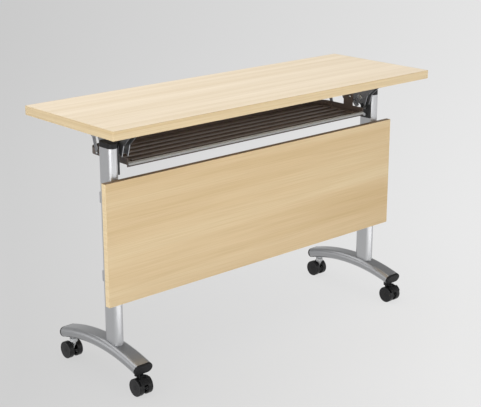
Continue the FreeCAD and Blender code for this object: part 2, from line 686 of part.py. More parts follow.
def make_foot(side_name, side):
    """Arched foot tube and its end caps."""
    body = new_body(side_name + "_foot")
    at_arch = (ZERO, S.foot_radius)
    loops = [flat_oval(S.foot_wide, S.foot_tall, True, centre=at_arch),
             flat_oval(S.foot_wide, S.foot_tall, True, inset=S.foot_wall, centre=at_arch)]
    half_span = arcsine(S.foot_reach / S.foot_radius)
    revolve(body, "XZ", "arch", loops, angle=half_span * 2)
    drop = S.column_y - S.foot_y
    slot = new_sketch(body, "XY", "column_slot",
                      offset=root(S.foot_radius * S.foot_radius - drop * drop))
    draw(slot, flat_oval(S.column_wide, S.column_deep, False, inset=-S.plug_gap,
                         centre=(ZERO, drop)))
    cut(body, slot, "column_opening", S.foot_tall * 2, ahead=True)
    seats = new_sketch(body, "XY", "socket_holes",
                       offset=root(S.foot_radius * S.foot_radius - S.caster_reach * S.caster_reach))
    for row_name, row in ROWS:
        draw_circle(seats, ZERO, S.caster_reach * row, S.socket_dia + S.plug_gap)
    cut(body, seats, "sockets", S.foot_tall * 2)
    place(body, x=COLUMN_X * side, y=S.foot_y, z=ARCH_CENTRE)

    for row_name, row in ROWS:
        cap = new_body("%s_foot_%s_cap" % (side_name, row_name))
        face = new_sketch(cap, "XZ", "face")
        draw(face, flat_oval(S.foot_wide, S.foot_tall, True))
        pad(cap, face, "cover", S.foot_cap)
        round_edges(cap, "eased", S.foot_cap_round,
                    lambda edge: lies_at(edge, "Y", -S.foot_cap.value))
        plug = new_sketch(cap, "XZ", "plug")
        draw(plug, flat_oval(S.foot_wide, S.foot_tall, True, inset=S.foot_wall + S.plug_gap))
        pad(cap, plug, "spigot", S.foot_plug, back=True)
        end_rise = root(S.foot_radius * S.foot_radius - S.foot_reach * S.foot_reach)
        place(cap, x=COLUMN_X * side, y=S.foot_y + S.foot_reach * row, z=ARCH_CENTRE + end_rise)
        turn_end(cap, row, half_span)


def turn_end(cap, row, half_span):
    """Turn a foot end cap square to the arch at its end of the tube."""
    cap.Placement = FreeCAD.Placement(cap.Placement.Base,
                                      FreeCAD.Rotation(FreeCAD.Vector(1, 0, 0), 1.0))
    bind(cap, "Placement.Rotation.Angle", half_span if row < 0 else as_size(180.0) - half_span)


def make_head(side_name, side):
    """Head bracket on the column's inner face, and the pivot bolt in it."""
    body = new_body(side_name + "_head_bracket")
    half = S.bracket_wide / 2
    ear_y, ear_z = CATCH[0] + S.bracket_ear, CATCH[1]
    shoulder = root(S.bracket_dome * S.bracket_dome - half * half)
    plate = new_sketch(body, "YZ", "plate")
    draw(plate, [(-half, -S.bracket_drop), (half, -S.bracket_drop),
                 (half, ear_z - S.bracket_ear * 2), (ear_y, ear_z - S.bracket_ear),
                 (ear_y, ear_z + S.bracket_ear), (half, shoulder),
                 Bow(S.bracket_dome, left=False), (ZERO, S.bracket_dome),
                 Bow(S.bracket_dome, left=False), (-half, shoulder)])
    pad(body, plate, "sheet", S.bracket_thick, back=side > 0)
    boss = new_sketch(body, "YZ", "boss")
    draw_circle(boss, ZERO, ZERO, S.bracket_boss)
    pad(body, boss, "pivot_boss", S.bracket_thick + BOSS_TALL, back=side > 0)
    holes = new_sketch(body, "YZ", "holes")
    draw_circle(holes, ZERO, ZERO, S.pivot_thread + S.plug_gap)
    draw_circle(holes, CATCH[0], CATCH[1], S.catch_pin + S.plug_gap)
    for fall in (S.head_bolt_high, S.head_bolt_low):
        draw_circle(holes, ZERO, -fall, S.head_bolt + S.bolt_clear)
    cut(body, holes, "bores", FAR, both=True)
    place(body, x=INNER_FACE * side, y=S.pivot_y, z=PIVOT_Z)

    bolt = new_body(side_name + "_pivot_bolt")
    collar = S.arm_wide + S.arm_gap - BOSS_TALL + S.bush_proud + S.seat_gap
    end = collar + BOSS_TALL + S.bracket_thick
    outline = [(-S.pivot_flange, ZERO), (end, ZERO), (end, S.pivot_thread / 2),
               (collar, S.pivot_thread / 2), (collar, S.pivot_shoulder / 2),
               (ZERO, S.pivot_shoulder / 2), (ZERO, S.bush_flange / 2),
               (-S.pivot_flange, S.bush_flange / 2)]
    revolve(bolt, "XZ", "shank", [[(x * side, r) for x, r in outline]])
    head = new_sketch(bolt, "YZ", "head", offset=-S.pivot_flange * side)
    draw(head, hexagon(S.pivot_flats))
    pad(bolt, head, "hexagon", S.pivot_head, back=side > 0)
    place(bolt, x=(ARM_INNER - S.bush_proud - S.seat_gap) * side, y=S.pivot_y, z=PIVOT_Z)


def make_head_fasteners():
    """Head bolts and catch pins of both columns."""
    bolt = new_body("head_bolt_master", keep=False)
    shank = new_sketch(bolt, "YZ", "shank")
    draw_circle(shank, ZERO, ZERO, S.head_bolt)
    pad(bolt, shank, "shank_length", S.head_bolt_depth + S.bracket_thick)
    head = new_sketch(bolt, "YZ", "head")
    draw(head, hexagon(S.head_bolt_flats))
    pad(bolt, head, "hexagon", S.head_bolt_tall, back=True)
    places = []
    for side in (LEFT, RIGHT):
        for fall in (S.head_bolt_high, S.head_bolt_low):
            places.append(dict(x=BRACKET_FACE * side, y=S.pivot_y, z=PIVOT_Z - fall,
                               axis=(0, 0, 1), angle=90.0 - 90.0 * side))
    group("head_bolts", bolt, places)

    pin = new_body("catch_pin_master", keep=False)
    round_bar = new_sketch(pin, "YZ", "round_bar")
    draw_circle(round_bar, ZERO, ZERO, S.catch_pin)
    pin_length = INNER_FACE - ARM_INNER - S.catch_end_gap
    pad(pin, round_bar, "length", pin_length, both=True)
    group("catch_pins", pin, [dict(x=(INNER_FACE - pin_length / 2) * side, y=S.pivot_y + CATCH[0],
                                   z=PIVOT_Z + CATCH[1]) for side in (LEFT, RIGHT)])


def arm_outline():
    """Side view of a swing arm about the flip axis, with the stop notch round its hub."""
    rear_stop = S.catch_angle + STOP_TURN
    front_stop = S.catch_angle - S.flip_angle - STOP_TURN
    low = polar(S.arm_hub, (rear_stop + front_stop) / 2)
    rear_foot = polar(S.arm_stop, rear_stop)
    hub = Bow(S.arm_hub, left=False)
    return [(-S.arm_front, ARM_TOP), (-S.arm_front, ARM_TOP - S.arm_tip),
            (-S.arm_knee_y, ARM_TOP - S.arm_knee_drop), (-S.arm_heel_y, S.arm_heel_z),
            polar(S.arm_stop, front_stop), polar(S.arm_hub, front_stop), hub, low, hub,
            polar(S.arm_hub, rear_stop), rear_foot, (S.arm_rear_y, rear_foot[1]),
            (S.arm_rear, ARM_TOP - S.arm_tip_rear), (S.arm_rear, ARM_TOP)]


def make_arm(side_name, side):
    """Swing arm channel with its bush, latch spring and brace."""
    body = new_body(side_name + "_swing_arm")
    profile = new_sketch(body, "YZ", "profile")
    draw(profile, arm_outline())
    pad(body, profile, "blank", S.arm_wide, both=True)
    slot = new_sketch(body, "XZ", "slot")
    draw(slot, rectangle(-ARM_SLOT / 2, -S.arm_stop * 2, ARM_SLOT / 2, ARM_WEB))
    cut(body, slot, "channel", FAR, both=True)
    bores = new_sketch(body, "YZ", "bores")
    draw_circle(bores, ZERO, ZERO, S.bush_dia + S.plug_gap)
    draw_circle(bores, S.lever_y, S.lever_z, S.lever_pin + S.plug_gap)
    cut(body, bores, "cross_holes", FAR, both=True)
    web = new_sketch(body, "XY", "web_holes")
    for y in ARM_SCREWS:
        draw_circle(web, ZERO, y, SCREW_HOLE)
    cut(body, web, "screw_holes", FAR, both=True)
    hanger = new_sketch(body, "YZ", "hanger_holes")
    for y, z in TAB_SCREWS:
        draw_circle(hanger, y - S.pivot_y, z - PIVOT_Z, SCREW_HOLE)
    cut(body, hanger, "tray_holes", S.arm_wide, ahead=side < 0)
    place(body, x=ARM_MID * side, y=S.pivot_y, z=PIVOT_Z)

    bush = new_body(side_name + "_pivot_bush")
    bore = (S.pivot_shoulder + S.run_fit) / 2
    length = S.arm_wide + S.bush_proud
    flange_end = length + S.bush_flange_thick
    outline = [(ZERO, bore), (flange_end, bore), (flange_end, S.bush_flange / 2),
               (length, S.bush_flange / 2), (length, S.bush_dia / 2), (ZERO, S.bush_dia / 2)]
    revolve(bush, "XZ", "sleeve", [[(x * side, r) for x, r in outline]])
    place(bush, x=(ARM_INNER - S.bush_proud) * side, y=S.pivot_y, z=PIVOT_Z)

    spring = new_body(side_name + "_latch_spring")
    tip = lever_top_at(S.spring_end) + S.spring_gap
    leaf = new_sketch(spring, "YZ", "leaf")
    draw(leaf, [(S.spring_root, ARM_WEB), (S.spring_root, ARM_WEB - S.spring_thick),
                (S.spring_bend, ARM_WEB - S.spring_thick), (S.spring_end, tip),
                (S.spring_end + S.spring_thick, tip), (S.spring_bend + S.spring_thick, ARM_WEB)])
    pad(spring, leaf, "width", S.spring_wide, both=True)
    place(spring, x=ARM_MID * side, y=S.pivot_y, z=PIVOT_Z)
    make_brace(side_name, side)


def make_brace(side_name, side):
    """Flat bar from the tray's end up to a flange under the work top."""
    body = new_body(side_name + "_brace")
    half = S.brace_wide / 2
    low_y, low_z = BRACE_FOOT
    bar = new_sketch(body, "YZ", "bar")
    draw(bar, [(low_y - half, low_z), Bow(half, left=False), (low_y, low_z - half),
               Bow(half, left=False), (low_y + half, low_z),
               (S.brace_high_y + half, UNDER_TOP), (S.brace_high_y - half, UNDER_TOP)])
    pad(body, bar, "strip", S.brace_thick, back=side < 0)
    flange = new_sketch(body, "XY", "flange", offset=UNDER_TOP)
    draw(flange, rectangle(S.brace_thick * side, S.brace_high_y - half,
                           (S.brace_thick - S.brace_flange) * side, S.brace_high_y + half))
    pad(body, flange, "bent_end", S.brace_thick, back=True)
    hole = new_sketch(body, "XY", "top_hole", offset=UNDER_TOP)
    draw_circle(hole, (S.brace_thick - S.brace_flange / 2) * side, S.brace_high_y, SCREW_HOLE)
    cut(body, hole, "top_screw", S.brace_thick * 2, both=True)
    foot = new_sketch(body, "YZ", "foot_hole")
    draw_circle(foot, low_y, low_z, SCREW_HOLE)
    cut(body, foot, "foot_screw", FAR, both=True)
    place(body, x=ARM_INNER * side)


def lever_top_at(y):
    """Height of the latch lever's upper edge behind its hub."""
    back_y, back_z = S.lever_y + S.lever_hub * 2, S.lever_z
    end_z = S.paddle_z + S.paddle_thick
    return back_z + (end_z - back_z) * (y - back_y) / (S.paddle_y - back_y)


def make_latch(side_name, side):
    """Latch lever: hook towards the catch pin, hub on its pin, paddle for the fingers."""
    body = new_body(side_name + "_latch_lever")
    inner = S.catch_circle + S.catch_pin / 2 + S.hook_gap
    outer = inner + S.hook_thick
    back_y = S.lever_y + S.lever_hub * 2
    outline = [polar(inner, S.hook_start), Bow(inner, left=True), polar(inner, S.hook_end),
               polar(outer, S.hook_end), Bow(outer, left=False), polar(outer, S.hook_start),
               (S.lever_y + S.lever_hub / 2, S.lever_z - S.lever_hub),
               (back_y, S.paddle_z + S.paddle_thick * 2), (S.paddle_y - S.lever_hub, S.paddle_z),
               (S.paddle_y, S.paddle_z), (S.paddle_y, S.paddle_z + S.paddle_thick),
               (back_y, S.lever_z), (S.lever_y, S.lever_z + S.lever_hub),
               Bow(S.lever_hub, left=False), (S.lever_y - S.lever_hub, S.lever_z)]
    profile = new_sketch(body, "YZ", "profile")
    draw(profile, outline)
    pad(body, profile, "width", S.lever_wide, both=True)
    bore = new_sketch(body, "YZ", "bore")
    draw_circle(bore, S.lever_y, S.lever_z, S.lever_pin + S.run_fit)
    cut(body, bore, "pin_hole", FAR, both=True)
    place(body, x=ARM_MID * side, y=S.pivot_y, z=PIVOT_Z)


def wood_screw(name, length):
    """Pan-head screw pointing up from the underside of its head."""
    screw = new_body(name, keep=False)
    shank = S.screw_dia / 2
    outline = [(ZERO, length), (ZERO, -S.screw_head_tall), (S.screw_head / 4, -S.screw_head_tall),
               Bow(S.screw_head_tall * 2, left=False), (S.screw_head / 2, ZERO), (shank, ZERO),
               (shank, length - S.screw_dia)]
    sketch = new_sketch(screw, "XZ", "half_section")
    draw(sketch, outline)
    turned = feature(screw, "Revolution", "turned", sketch)
    turned.ReferenceAxis = (sketch, ["V_Axis"])
    turned.Angle = 360.0
    half, narrow = S.screw_slot_long / 2, S.screw_slot / 2
    cross = new_sketch(screw, "XY", "cross", offset=-S.screw_head_tall)
    draw(cross, [(narrow, narrow), (narrow, half), (-narrow, half), (-narrow, narrow),
                 (-half, narrow), (-half, -narrow), (-narrow, -narrow), (-narrow, -half),
                 (narrow, -half), (narrow, -narrow), (half, -narrow), (half, narrow)])
    cut(screw, cross, "cross_recess", S.screw_slot_deep, ahead=True)
    return screw


def make_screws():
    """Screws and pins that hold the arms, braces, tray and levers."""
    long_screw = wood_screw("wood_screw_master", S.screw_length)
    short_screw = wood_screw("tray_screw_master", S.tray_screw_length + S.arm_sheet)
    arm_places = [dict(x=ARM_MID * side, y=S.pivot_y + y, z=UNDER_TOP - S.arm_sheet)
                  for side in (LEFT, RIGHT) for y in ARM_SCREWS]
    group("arm_screws", long_screw, arm_places)
    brace_places = [dict(x=BRACE_TOP_X * side, y=S.brace_high_y, z=UNDER_TOP - S.brace_thick)
                    for side in (LEFT, RIGHT)]
    group("brace_screws", long_screw, brace_places)
    tray_places = []
    for side in (LEFT, RIGHT):
        for y, z in TAB_SCREWS:
            tray_places.append(dict(x=(ARM_INNER - S.tray_sheet) * side, y=y, z=z,
                                    axis=(0, 1, 0), angle=90.0 * side))
        tray_places.append(dict(x=(ARM_INNER + S.brace_thick) * side, y=BRACE_FOOT[0],
                                z=BRACE_FOOT[1], axis=(0, 1, 0), angle=-90.0 * side))
    group("tray_screws", short_screw, tray_places)
    pin = new_body("latch_pin_master", keep=False)
    bar = new_sketch(pin, "YZ", "bar")
    draw_circle(bar, ZERO, ZERO, S.lever_pin)
    pad(pin, bar, "length", S.arm_wide, both=True)
    group("latch_pins", pin, [dict(x=ARM_MID * side, y=S.pivot_y + S.lever_y,
                                   z=PIVOT_Z + S.lever_z) for side in (LEFT, RIGHT)])


def make_tray():
    """Book tray: floor with ribs, rim round the ends and rear, hanger tabs, and front trim."""
    body = new_body("book_tray")
    front, rear, corner = S.tray_front, S.tray_rear, S.tray_corner

    def plan(half, back, radius, forward):
        bow = Bow(radius, left=False)
        return [(-half, forward), (half, forward), (half, back - radius), bow,
                (half - radius, back), (radius - half, back), bow, (-half, back - radius)]

    base = new_sketch(body, "XY", "plan")
    draw(base, plan(ARM_INNER, rear, corner, front))
    pad(body, base, "rim", S.tray_lip)
    skirt = new_sketch(body, "XY", "skirt")
    draw(skirt, rectangle(-ARM_INNER, front, ARM_INNER, front + S.skirt_thick))
    pad(body, skirt, "front_skirt", S.skirt_tall, back=True)
    inside = new_sketch(body, "XY", "inside", offset=S.tray_sheet)
    draw(inside, plan(ARM_INNER - S.tray_sheet, rear - S.tray_sheet, corner - S.tray_sheet,
                      front - S.tray_lip))
    cut(body, inside, "hollow", S.tray_lip, ahead=True)
    rib = new_sketch(body, "XY", "rib", offset=S.tray_sheet)
    rib_half = ARM_INNER - S.rib_inset
    rib_y = front + S.rib_first
    draw(rib, rectangle(-rib_half, rib_y, rib_half, rib_y + S.rib_wide))
    first = pad(body, rib, "first_rib", S.rib_tall)
    doc.recompute()
    ribs = body.newObject("PartDesign::LinearPattern", "book_tray_ribs")
    ribs.Originals = [first]
    ribs.Direction = (rib, ["V_Axis"])
    ribs.Mode = "Spacing"
    bind(ribs, "Offset", S.rib_step)
    bind(ribs, "Occurrences", S.rib_count)
    body.Tip = ribs
    doc.recompute()
    for side_name, side in SIDES:
        tab = new_sketch(body, "YZ", side_name + "_tab", offset=ARM_INNER * side)
        draw(tab, rectangle(S.tab_front, ZERO, S.tab_rear, TAB_TOP - TRAY_FLOOR))
        pad(body, tab, side_name + "_hanger", S.tray_sheet, back=side > 0)
        holes = new_sketch(body, "YZ", side_name + "_holes", offset=ARM_INNER * side)
        for y, z in TAB_SCREWS:
            draw_circle(holes, y, z - TRAY_FLOOR, SCREW_HOLE)
        draw_circle(holes, BRACE_FOOT[0], BRACE_FOOT[1] - TRAY_FLOOR, SCREW_HOLE)
        cut(body, holes, side_name + "_screw_holes", S.tray_sheet * 4, both=True)
    place(body, z=TRAY_FLOOR)

    trim = new_body("tray_front_trim")
    seat = S.trim_drop + S.tray_sheet + S.trim_gap
    profile = new_sketch(trim, "YZ", "profile")
    draw(profile, [(-S.trim_deep, ZERO), (-S.trim_gap, ZERO), (-S.trim_gap, seat),
                   (S.trim_grip, seat), (S.trim_grip, S.trim_tall - S.trim_gap),
                   (-S.trim_deep / 2, S.trim_tall), Bow(S.trim_deep, left=False),
                   (-S.trim_deep, S.trim_tall - S.trim_deep / 2)])
    pad(trim, profile, "length", (ARM_INNER - S.tray_sheet) * 2, both=True)
    place(trim, y=front, z=TRAY_FLOOR - S.trim_drop)


def make_caster_mounts():
    """Sockets in the feet and the stems in them."""
    socket = new_body("caster_socket_master", keep=False)
    ring = new_sketch(socket, "XY", "ring")
    draw_circle(ring, ZERO, ZERO, S.socket_dia)
    draw_circle(ring, ZERO, ZERO, S.stem_dia + S.plug_gap)
    pad(socket, ring, "bush", S.socket_tall)
    stem = new_body("caster_stem_master", keep=False)
    outline = [(ZERO, -S.journal_drop), (S.journal_dia / 2, -S.journal_drop),
               (S.journal_dia / 2, ZERO), (S.stem_dia / 2, ZERO), (S.stem_dia / 2, S.stem_rise),
               (ZERO, S.stem_rise)]
    sketch = new_sketch(stem, "XZ", "half_section")
    draw(sketch, outline)
    turned = feature(stem, "Revolution", "turned", sketch)
    turned.ReferenceAxis = (sketch, ["V_Axis"])
    turned.Angle = 360.0
    spots = [dict(x=COLUMN_X * side, y=S.foot_y + S.caster_reach * row, z=S.caster_seat)
             for side in (LEFT, RIGHT) for row_name, row in ROWS]
    group("caster_sockets", socket, spots)
    group("caster_stems", stem, spots)


def wheel_section():
    """Half section of a wheel from its inner face: rim, outer disc and hub, open inside."""
    tread, rim = S.wheel_dia / 2, S.wheel_dia / 2 - S.wheel_rim
    bore, hub = (S.axle_dia + S.run_fit) / 2, S.wheel_hub / 2
    wide, eased = S.wheel_wide, S.wheel_round
    bore_end, disc = wide - S.wheel_cap, wide - S.wheel_wall
    bow = Bow(eased, left=True)
    return [(-HUB_REACH, bore), (-HUB_REACH, hub), (disc, hub), (disc, rim), (ZERO, rim),
            (ZERO, tread - eased), bow, (eased, tread), (wide - eased, tread),
            bow, (wide, tread - eased), (wide - S.wheel_gap, rim), (wide, hub), (wide, ZERO),
            (bore_end, ZERO), (bore_end, bore)]


def make_caster(name, x, y, row, braked):
    """Caster: yoke, axle, two wheels and, on the braked ones, a pedal."""
    turn = dict(axis=(0, 0, 1), angle=90.0 - 90.0 * row)
    yoke = new_body(name + "_caster_yoke")
    boss_low = YOKE_SEAT - S.boss_tall
    arm = S.yoke_boss / 2 - S.ear_inset
    hub = S.yoke_hub / 2
    web = new_sketch(yoke, "YZ", "web")
    draw(web, [(-arm, YOKE_SEAT), (-arm, boss_low), (S.trail - hub, AXLE_Z),
               Bow(hub, left=False), (S.trail, AXLE_Z - hub), Bow(hub, left=False),
               (S.trail + hub, AXLE_Z), (arm, boss_low), (arm, YOKE_SEAT)])
    pad(yoke, web, "web_plate", S.web_wide, both=True)
    boss = new_sketch(yoke, "XY", "boss", offset=boss_low)
    draw_circle(boss, ZERO, ZERO, S.yoke_boss)
    pad(yoke, boss, "stem_boss", S.boss_tall)
    if braked:
        lug = new_sketch(yoke, "YZ", "lug")
        ear = S.pedal_ear / 2
        draw(lug, [(ZERO, boss_low), (PEDAL_PIN[0] + ear, PEDAL_PIN[1] - ear),
                   (PEDAL_PIN[0] + ear, PEDAL_PIN[1]), (PEDAL_PIN[0], PEDAL_PIN[1] + ear),
                   (ZERO, YOKE_SEAT)])
        pad(yoke, lug, "pedal_lug", S.lug_wide, both=True)
        pin = new_sketch(yoke, "YZ", "pin")
        draw_circle(pin, PEDAL_PIN[0], PEDAL_PIN[1], S.pedal_pin)
        pad(yoke, pin, "pedal_pin", S.lug_wide + S.ear_wide * 2 + S.wheel_gap * 2, both=True)
    bore = new_sketch(yoke, "XY", "bore", offset=YOKE_SEAT)
    draw_circle(bore, ZERO, ZERO, S.journal_dia + S.run_fit)
    cut(yoke, bore, "stem_bore", S.journal_drop)
    cross = new_sketch(yoke, "YZ", "axle_hole")
    draw_circle(cross, S.trail, AXLE_Z, S.axle_dia + S.run_fit)
    cut(yoke, cross, "axle_bore", S.lug_wide * 2, both=True)
    place(yoke, x=x, y=y, **turn)

    axle = new_body(name + "_caster_axle")
    bar = new_sketch(axle, "YZ", "bar")
    draw_circle(bar, S.trail, AXLE_Z, S.axle_dia)
    bore_depth = S.wheel_wide - S.wheel_cap
    pad(axle, bar, "length", (WHEEL_INNER + bore_depth - S.axle_end_gap) * 2, both=True)
    place(axle, x=x, y=y, **turn)

    for wheel_name, side in (("left_wheel", LEFT), ("right_wheel", RIGHT)):
        wheel = new_body("%s_%s" % (name, wheel_name))
        section = wheel_section()
        revolve(wheel, "XZ", "section", [section if side > 0 else mirrored(section)])
        place(wheel, x=x + WHEEL_INNER * side, y=y + S.trail * row, z=AXLE_Z)

    if braked:
        make_pedal(name, x, y, turn)


def mirrored(outline):
    """Outline turned over its vertical axis, arcs included."""
    turned = []
    for item in outline:
        if isinstance(item, Bow):
            turned.append(Bow(item.radius, not item.left))
        else:
            turned.append((-item[0], item[1]))
    return turned


def make_pedal(name, x, y, turn):
    """Brake pedal: a curved plate over the treads on two ears at its pin."""
    body = new_body(name + "_brake_pedal")
    inner = AXLE_Z + S.pedal_gap
    outer = inner + S.pedal_thick
    shell = new_sketch(body, "YZ", "shell")
    draw(shell, [polar(inner, S.pedal_start, S.trail, AXLE_Z),
                 polar(outer, S.pedal_start, S.trail, AXLE_Z), Bow(outer, left=False),
                 polar(outer, S.pedal_end, S.trail, AXLE_Z),
                 polar(inner, S.pedal_end, S.trail, AXLE_Z), Bow(inner, left=True)])
    pad(body, shell, "plate", S.pedal_wide, both=True)
    inside = S.lug_wide / 2 + S.wheel_gap
    for ear_name, side in (("left_ear", LEFT), ("right_ear", RIGHT)):
        ear = new_sketch(body, "YZ", ear_name, offset=inside * side)
        draw(ear, [polar(inner, S.pedal_end - S.pedal_ear, S.trail, AXLE_Z),
                   polar(outer, S.pedal_end - S.pedal_ear, S.trail, AXLE_Z),
                   (PEDAL_PIN[0], PEDAL_PIN[1] + S.pedal_ear / 2),
                   Bow(S.pedal_ear / 2, left=False), (PEDAL_PIN[0] - S.pedal_ear / 2, PEDAL_PIN[1]),
                   Bow(S.pedal_ear / 2, left=False), (PEDAL_PIN[0], PEDAL_PIN[1] - S.pedal_ear / 2)])
        pad(body, ear, ear_name + "_plate", S.ear_wide, back=side < 0)
    bore = new_sketch(body, "YZ", "bore")
    draw_circle(bore, PEDAL_PIN[0], PEDAL_PIN[1], S.pedal_pin + S.run_fit)
    cut(body, bore, "pin_hole", FAR, both=True)
    place(body, x=x, y=y, **turn)


def check_model():
    """Stop if any object failed or any sub-part has no valid solid."""
    for thing in doc.Objects:
        if "Invalid" in thing.State or "Error" in thing.State:
            raise RuntimeError("%s failed: %s" % (thing.Name, thing.State))
    for node in nodes:
        if node.Shape.isNull() or not node.Shape.isValid() or not node.Shape.Solids:
            raise RuntimeError("%s has no valid solid" % node.Label)


def main():
    """Build every sub-part and write it."""
    make_work_top()
    make_panel()
    for side_name, side in SIDES:
        make_column(side_name, side)
        make_foot(side_name, side)
        make_head(side_name, side)
        make_arm(side_name, side)
        make_latch(side_name, side)
    make_head_fasteners()
    make_screws()
    make_tray()
    make_caster_mounts()
    for row_name, row in ROWS:
        for side_name, side in SIDES:
            make_caster("%s_%s" % (row_name, side_name), COLUMN_X * side,
                        S.foot_y + S.caster_reach * row, row, braked=row < 0)
    doc.recompute()
    check_model()
    os.makedirs("parts", exist_ok=True)
    for node in nodes:
        node.Shape.exportStep("parts/%s.step" % node.Label)
        box = node.Shape.BoundBox
        print("%-26s %2d solids  X %8.2f %8.2f  Y %8.2f %8.2f  Z %8.2f %8.2f" % (
            node.Label, len(node.Shape.Solids), box.XMin, box.XMax, box.YMin, box.YMax,
            box.ZMin, box.ZMax))


main()
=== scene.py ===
"""Looks of a flip-top training table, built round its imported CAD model.

Everything is in metres in the CAD model's frame: X along the table, -Y the side of the
modesty panel, +Z up, and the origin on the floor under the centre of the work top.
"""
import logging
import math
from dataclasses import dataclass
from enum import Enum

import bmesh
import bpy
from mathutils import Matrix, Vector


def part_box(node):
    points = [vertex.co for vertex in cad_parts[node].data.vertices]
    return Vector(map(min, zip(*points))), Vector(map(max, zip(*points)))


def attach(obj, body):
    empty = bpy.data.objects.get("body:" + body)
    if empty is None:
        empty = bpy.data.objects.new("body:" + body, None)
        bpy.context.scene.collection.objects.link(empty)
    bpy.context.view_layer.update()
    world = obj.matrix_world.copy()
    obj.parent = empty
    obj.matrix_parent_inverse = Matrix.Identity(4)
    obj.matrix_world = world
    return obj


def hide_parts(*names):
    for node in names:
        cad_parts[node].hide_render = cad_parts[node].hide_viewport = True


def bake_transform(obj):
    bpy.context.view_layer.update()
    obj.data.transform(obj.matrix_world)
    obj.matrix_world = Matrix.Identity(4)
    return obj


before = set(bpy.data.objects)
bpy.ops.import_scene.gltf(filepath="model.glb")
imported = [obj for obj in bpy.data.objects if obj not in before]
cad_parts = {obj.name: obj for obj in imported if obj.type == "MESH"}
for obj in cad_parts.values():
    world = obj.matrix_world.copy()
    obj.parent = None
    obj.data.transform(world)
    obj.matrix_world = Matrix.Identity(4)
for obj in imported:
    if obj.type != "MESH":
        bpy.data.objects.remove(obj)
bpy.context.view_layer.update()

LOG = logging.getLogger("training_table")
MM = 0.001
Colour = tuple[float, float, float, float]
Point = tuple[float, float, float]
# Sockets of a Mix node that mixes colours
FACTOR, FIRST, SECOND, RESULT = 0, 6, 7, 2
# The sRGB curve: its highest code, its straight start and the power curve above that
FULL_CODE = 255
STRAIGHT_END, STRAIGHT_SLOPE = 0.04045, 12.92
CURVE_OFFSET, CURVE_POWER = 0.055, 2.4
# Rays that find how far a softened edge reaches
EDGE_RAYS = 6
# A grain of this size, in metres, hardly changes through a board's thickness
NO_CHANGE = 1.0
ALONG_Y: Point = (0.0, 1.0, 0.0)


class Side(Enum):
    """Ends of the table, and the two wheels of a caster."""

    LEFT = "left"
    RIGHT = "right"


class Row(Enum):
    """Rows of casters."""

    FRONT = "front"
    REAR = "rear"


class Grain(Enum):
    """Plane that a board's face lies in, with its grain along X."""

    FLAT = "flat"
    UPRIGHT = "upright"


def linear(code: str) -> Colour:
    """Turn an sRGB hex code into linear light.

    Args:
        code: Six hex digits.
    Returns:
        Linear red, green, blue and an alpha of one.
    """
    values = []
    for channel in bytes.fromhex(code):
        value = channel / FULL_CODE
        if value <= STRAIGHT_END:
            values.append(value / STRAIGHT_SLOPE)
        else:
            values.append(((value + CURVE_OFFSET) / (1 + CURVE_OFFSET)) ** CURVE_POWER)
    red, green, blue = values
    return red, green, blue, 1.0


def add_node(tree: bpy.types.NodeTree, kind: str, links: dict | None = None,
             **settings: object) -> bpy.types.Node:
    """Add a node to a tree.

    Args:
        tree: Node tree of a material, of the sky or of a modifier.
        kind: Type of the node.
        links: Input socket, by name or number, to its value or the output that feeds it.
        settings: Properties of the node.
    Returns:
        The node.
    """
    node = tree.nodes.new(kind)
    for name, value in settings.items():
        setattr(node, name, value)
    for socket, value in (links or {}).items():
        feed(tree, node.inputs[socket], value)
    return node


def feed(tree: bpy.types.NodeTree, socket: bpy.types.NodeSocket, value: object) -> None:
    """Link an output to an input, or set the input's value.

    Args:
        tree: Node tree that the input is in.
        socket: The input.
        value: An output socket, or a plain value.
    """
    if isinstance(value, bpy.types.NodeSocket):
        tree.links.new(value, socket)
    else:
        socket.default_value = value


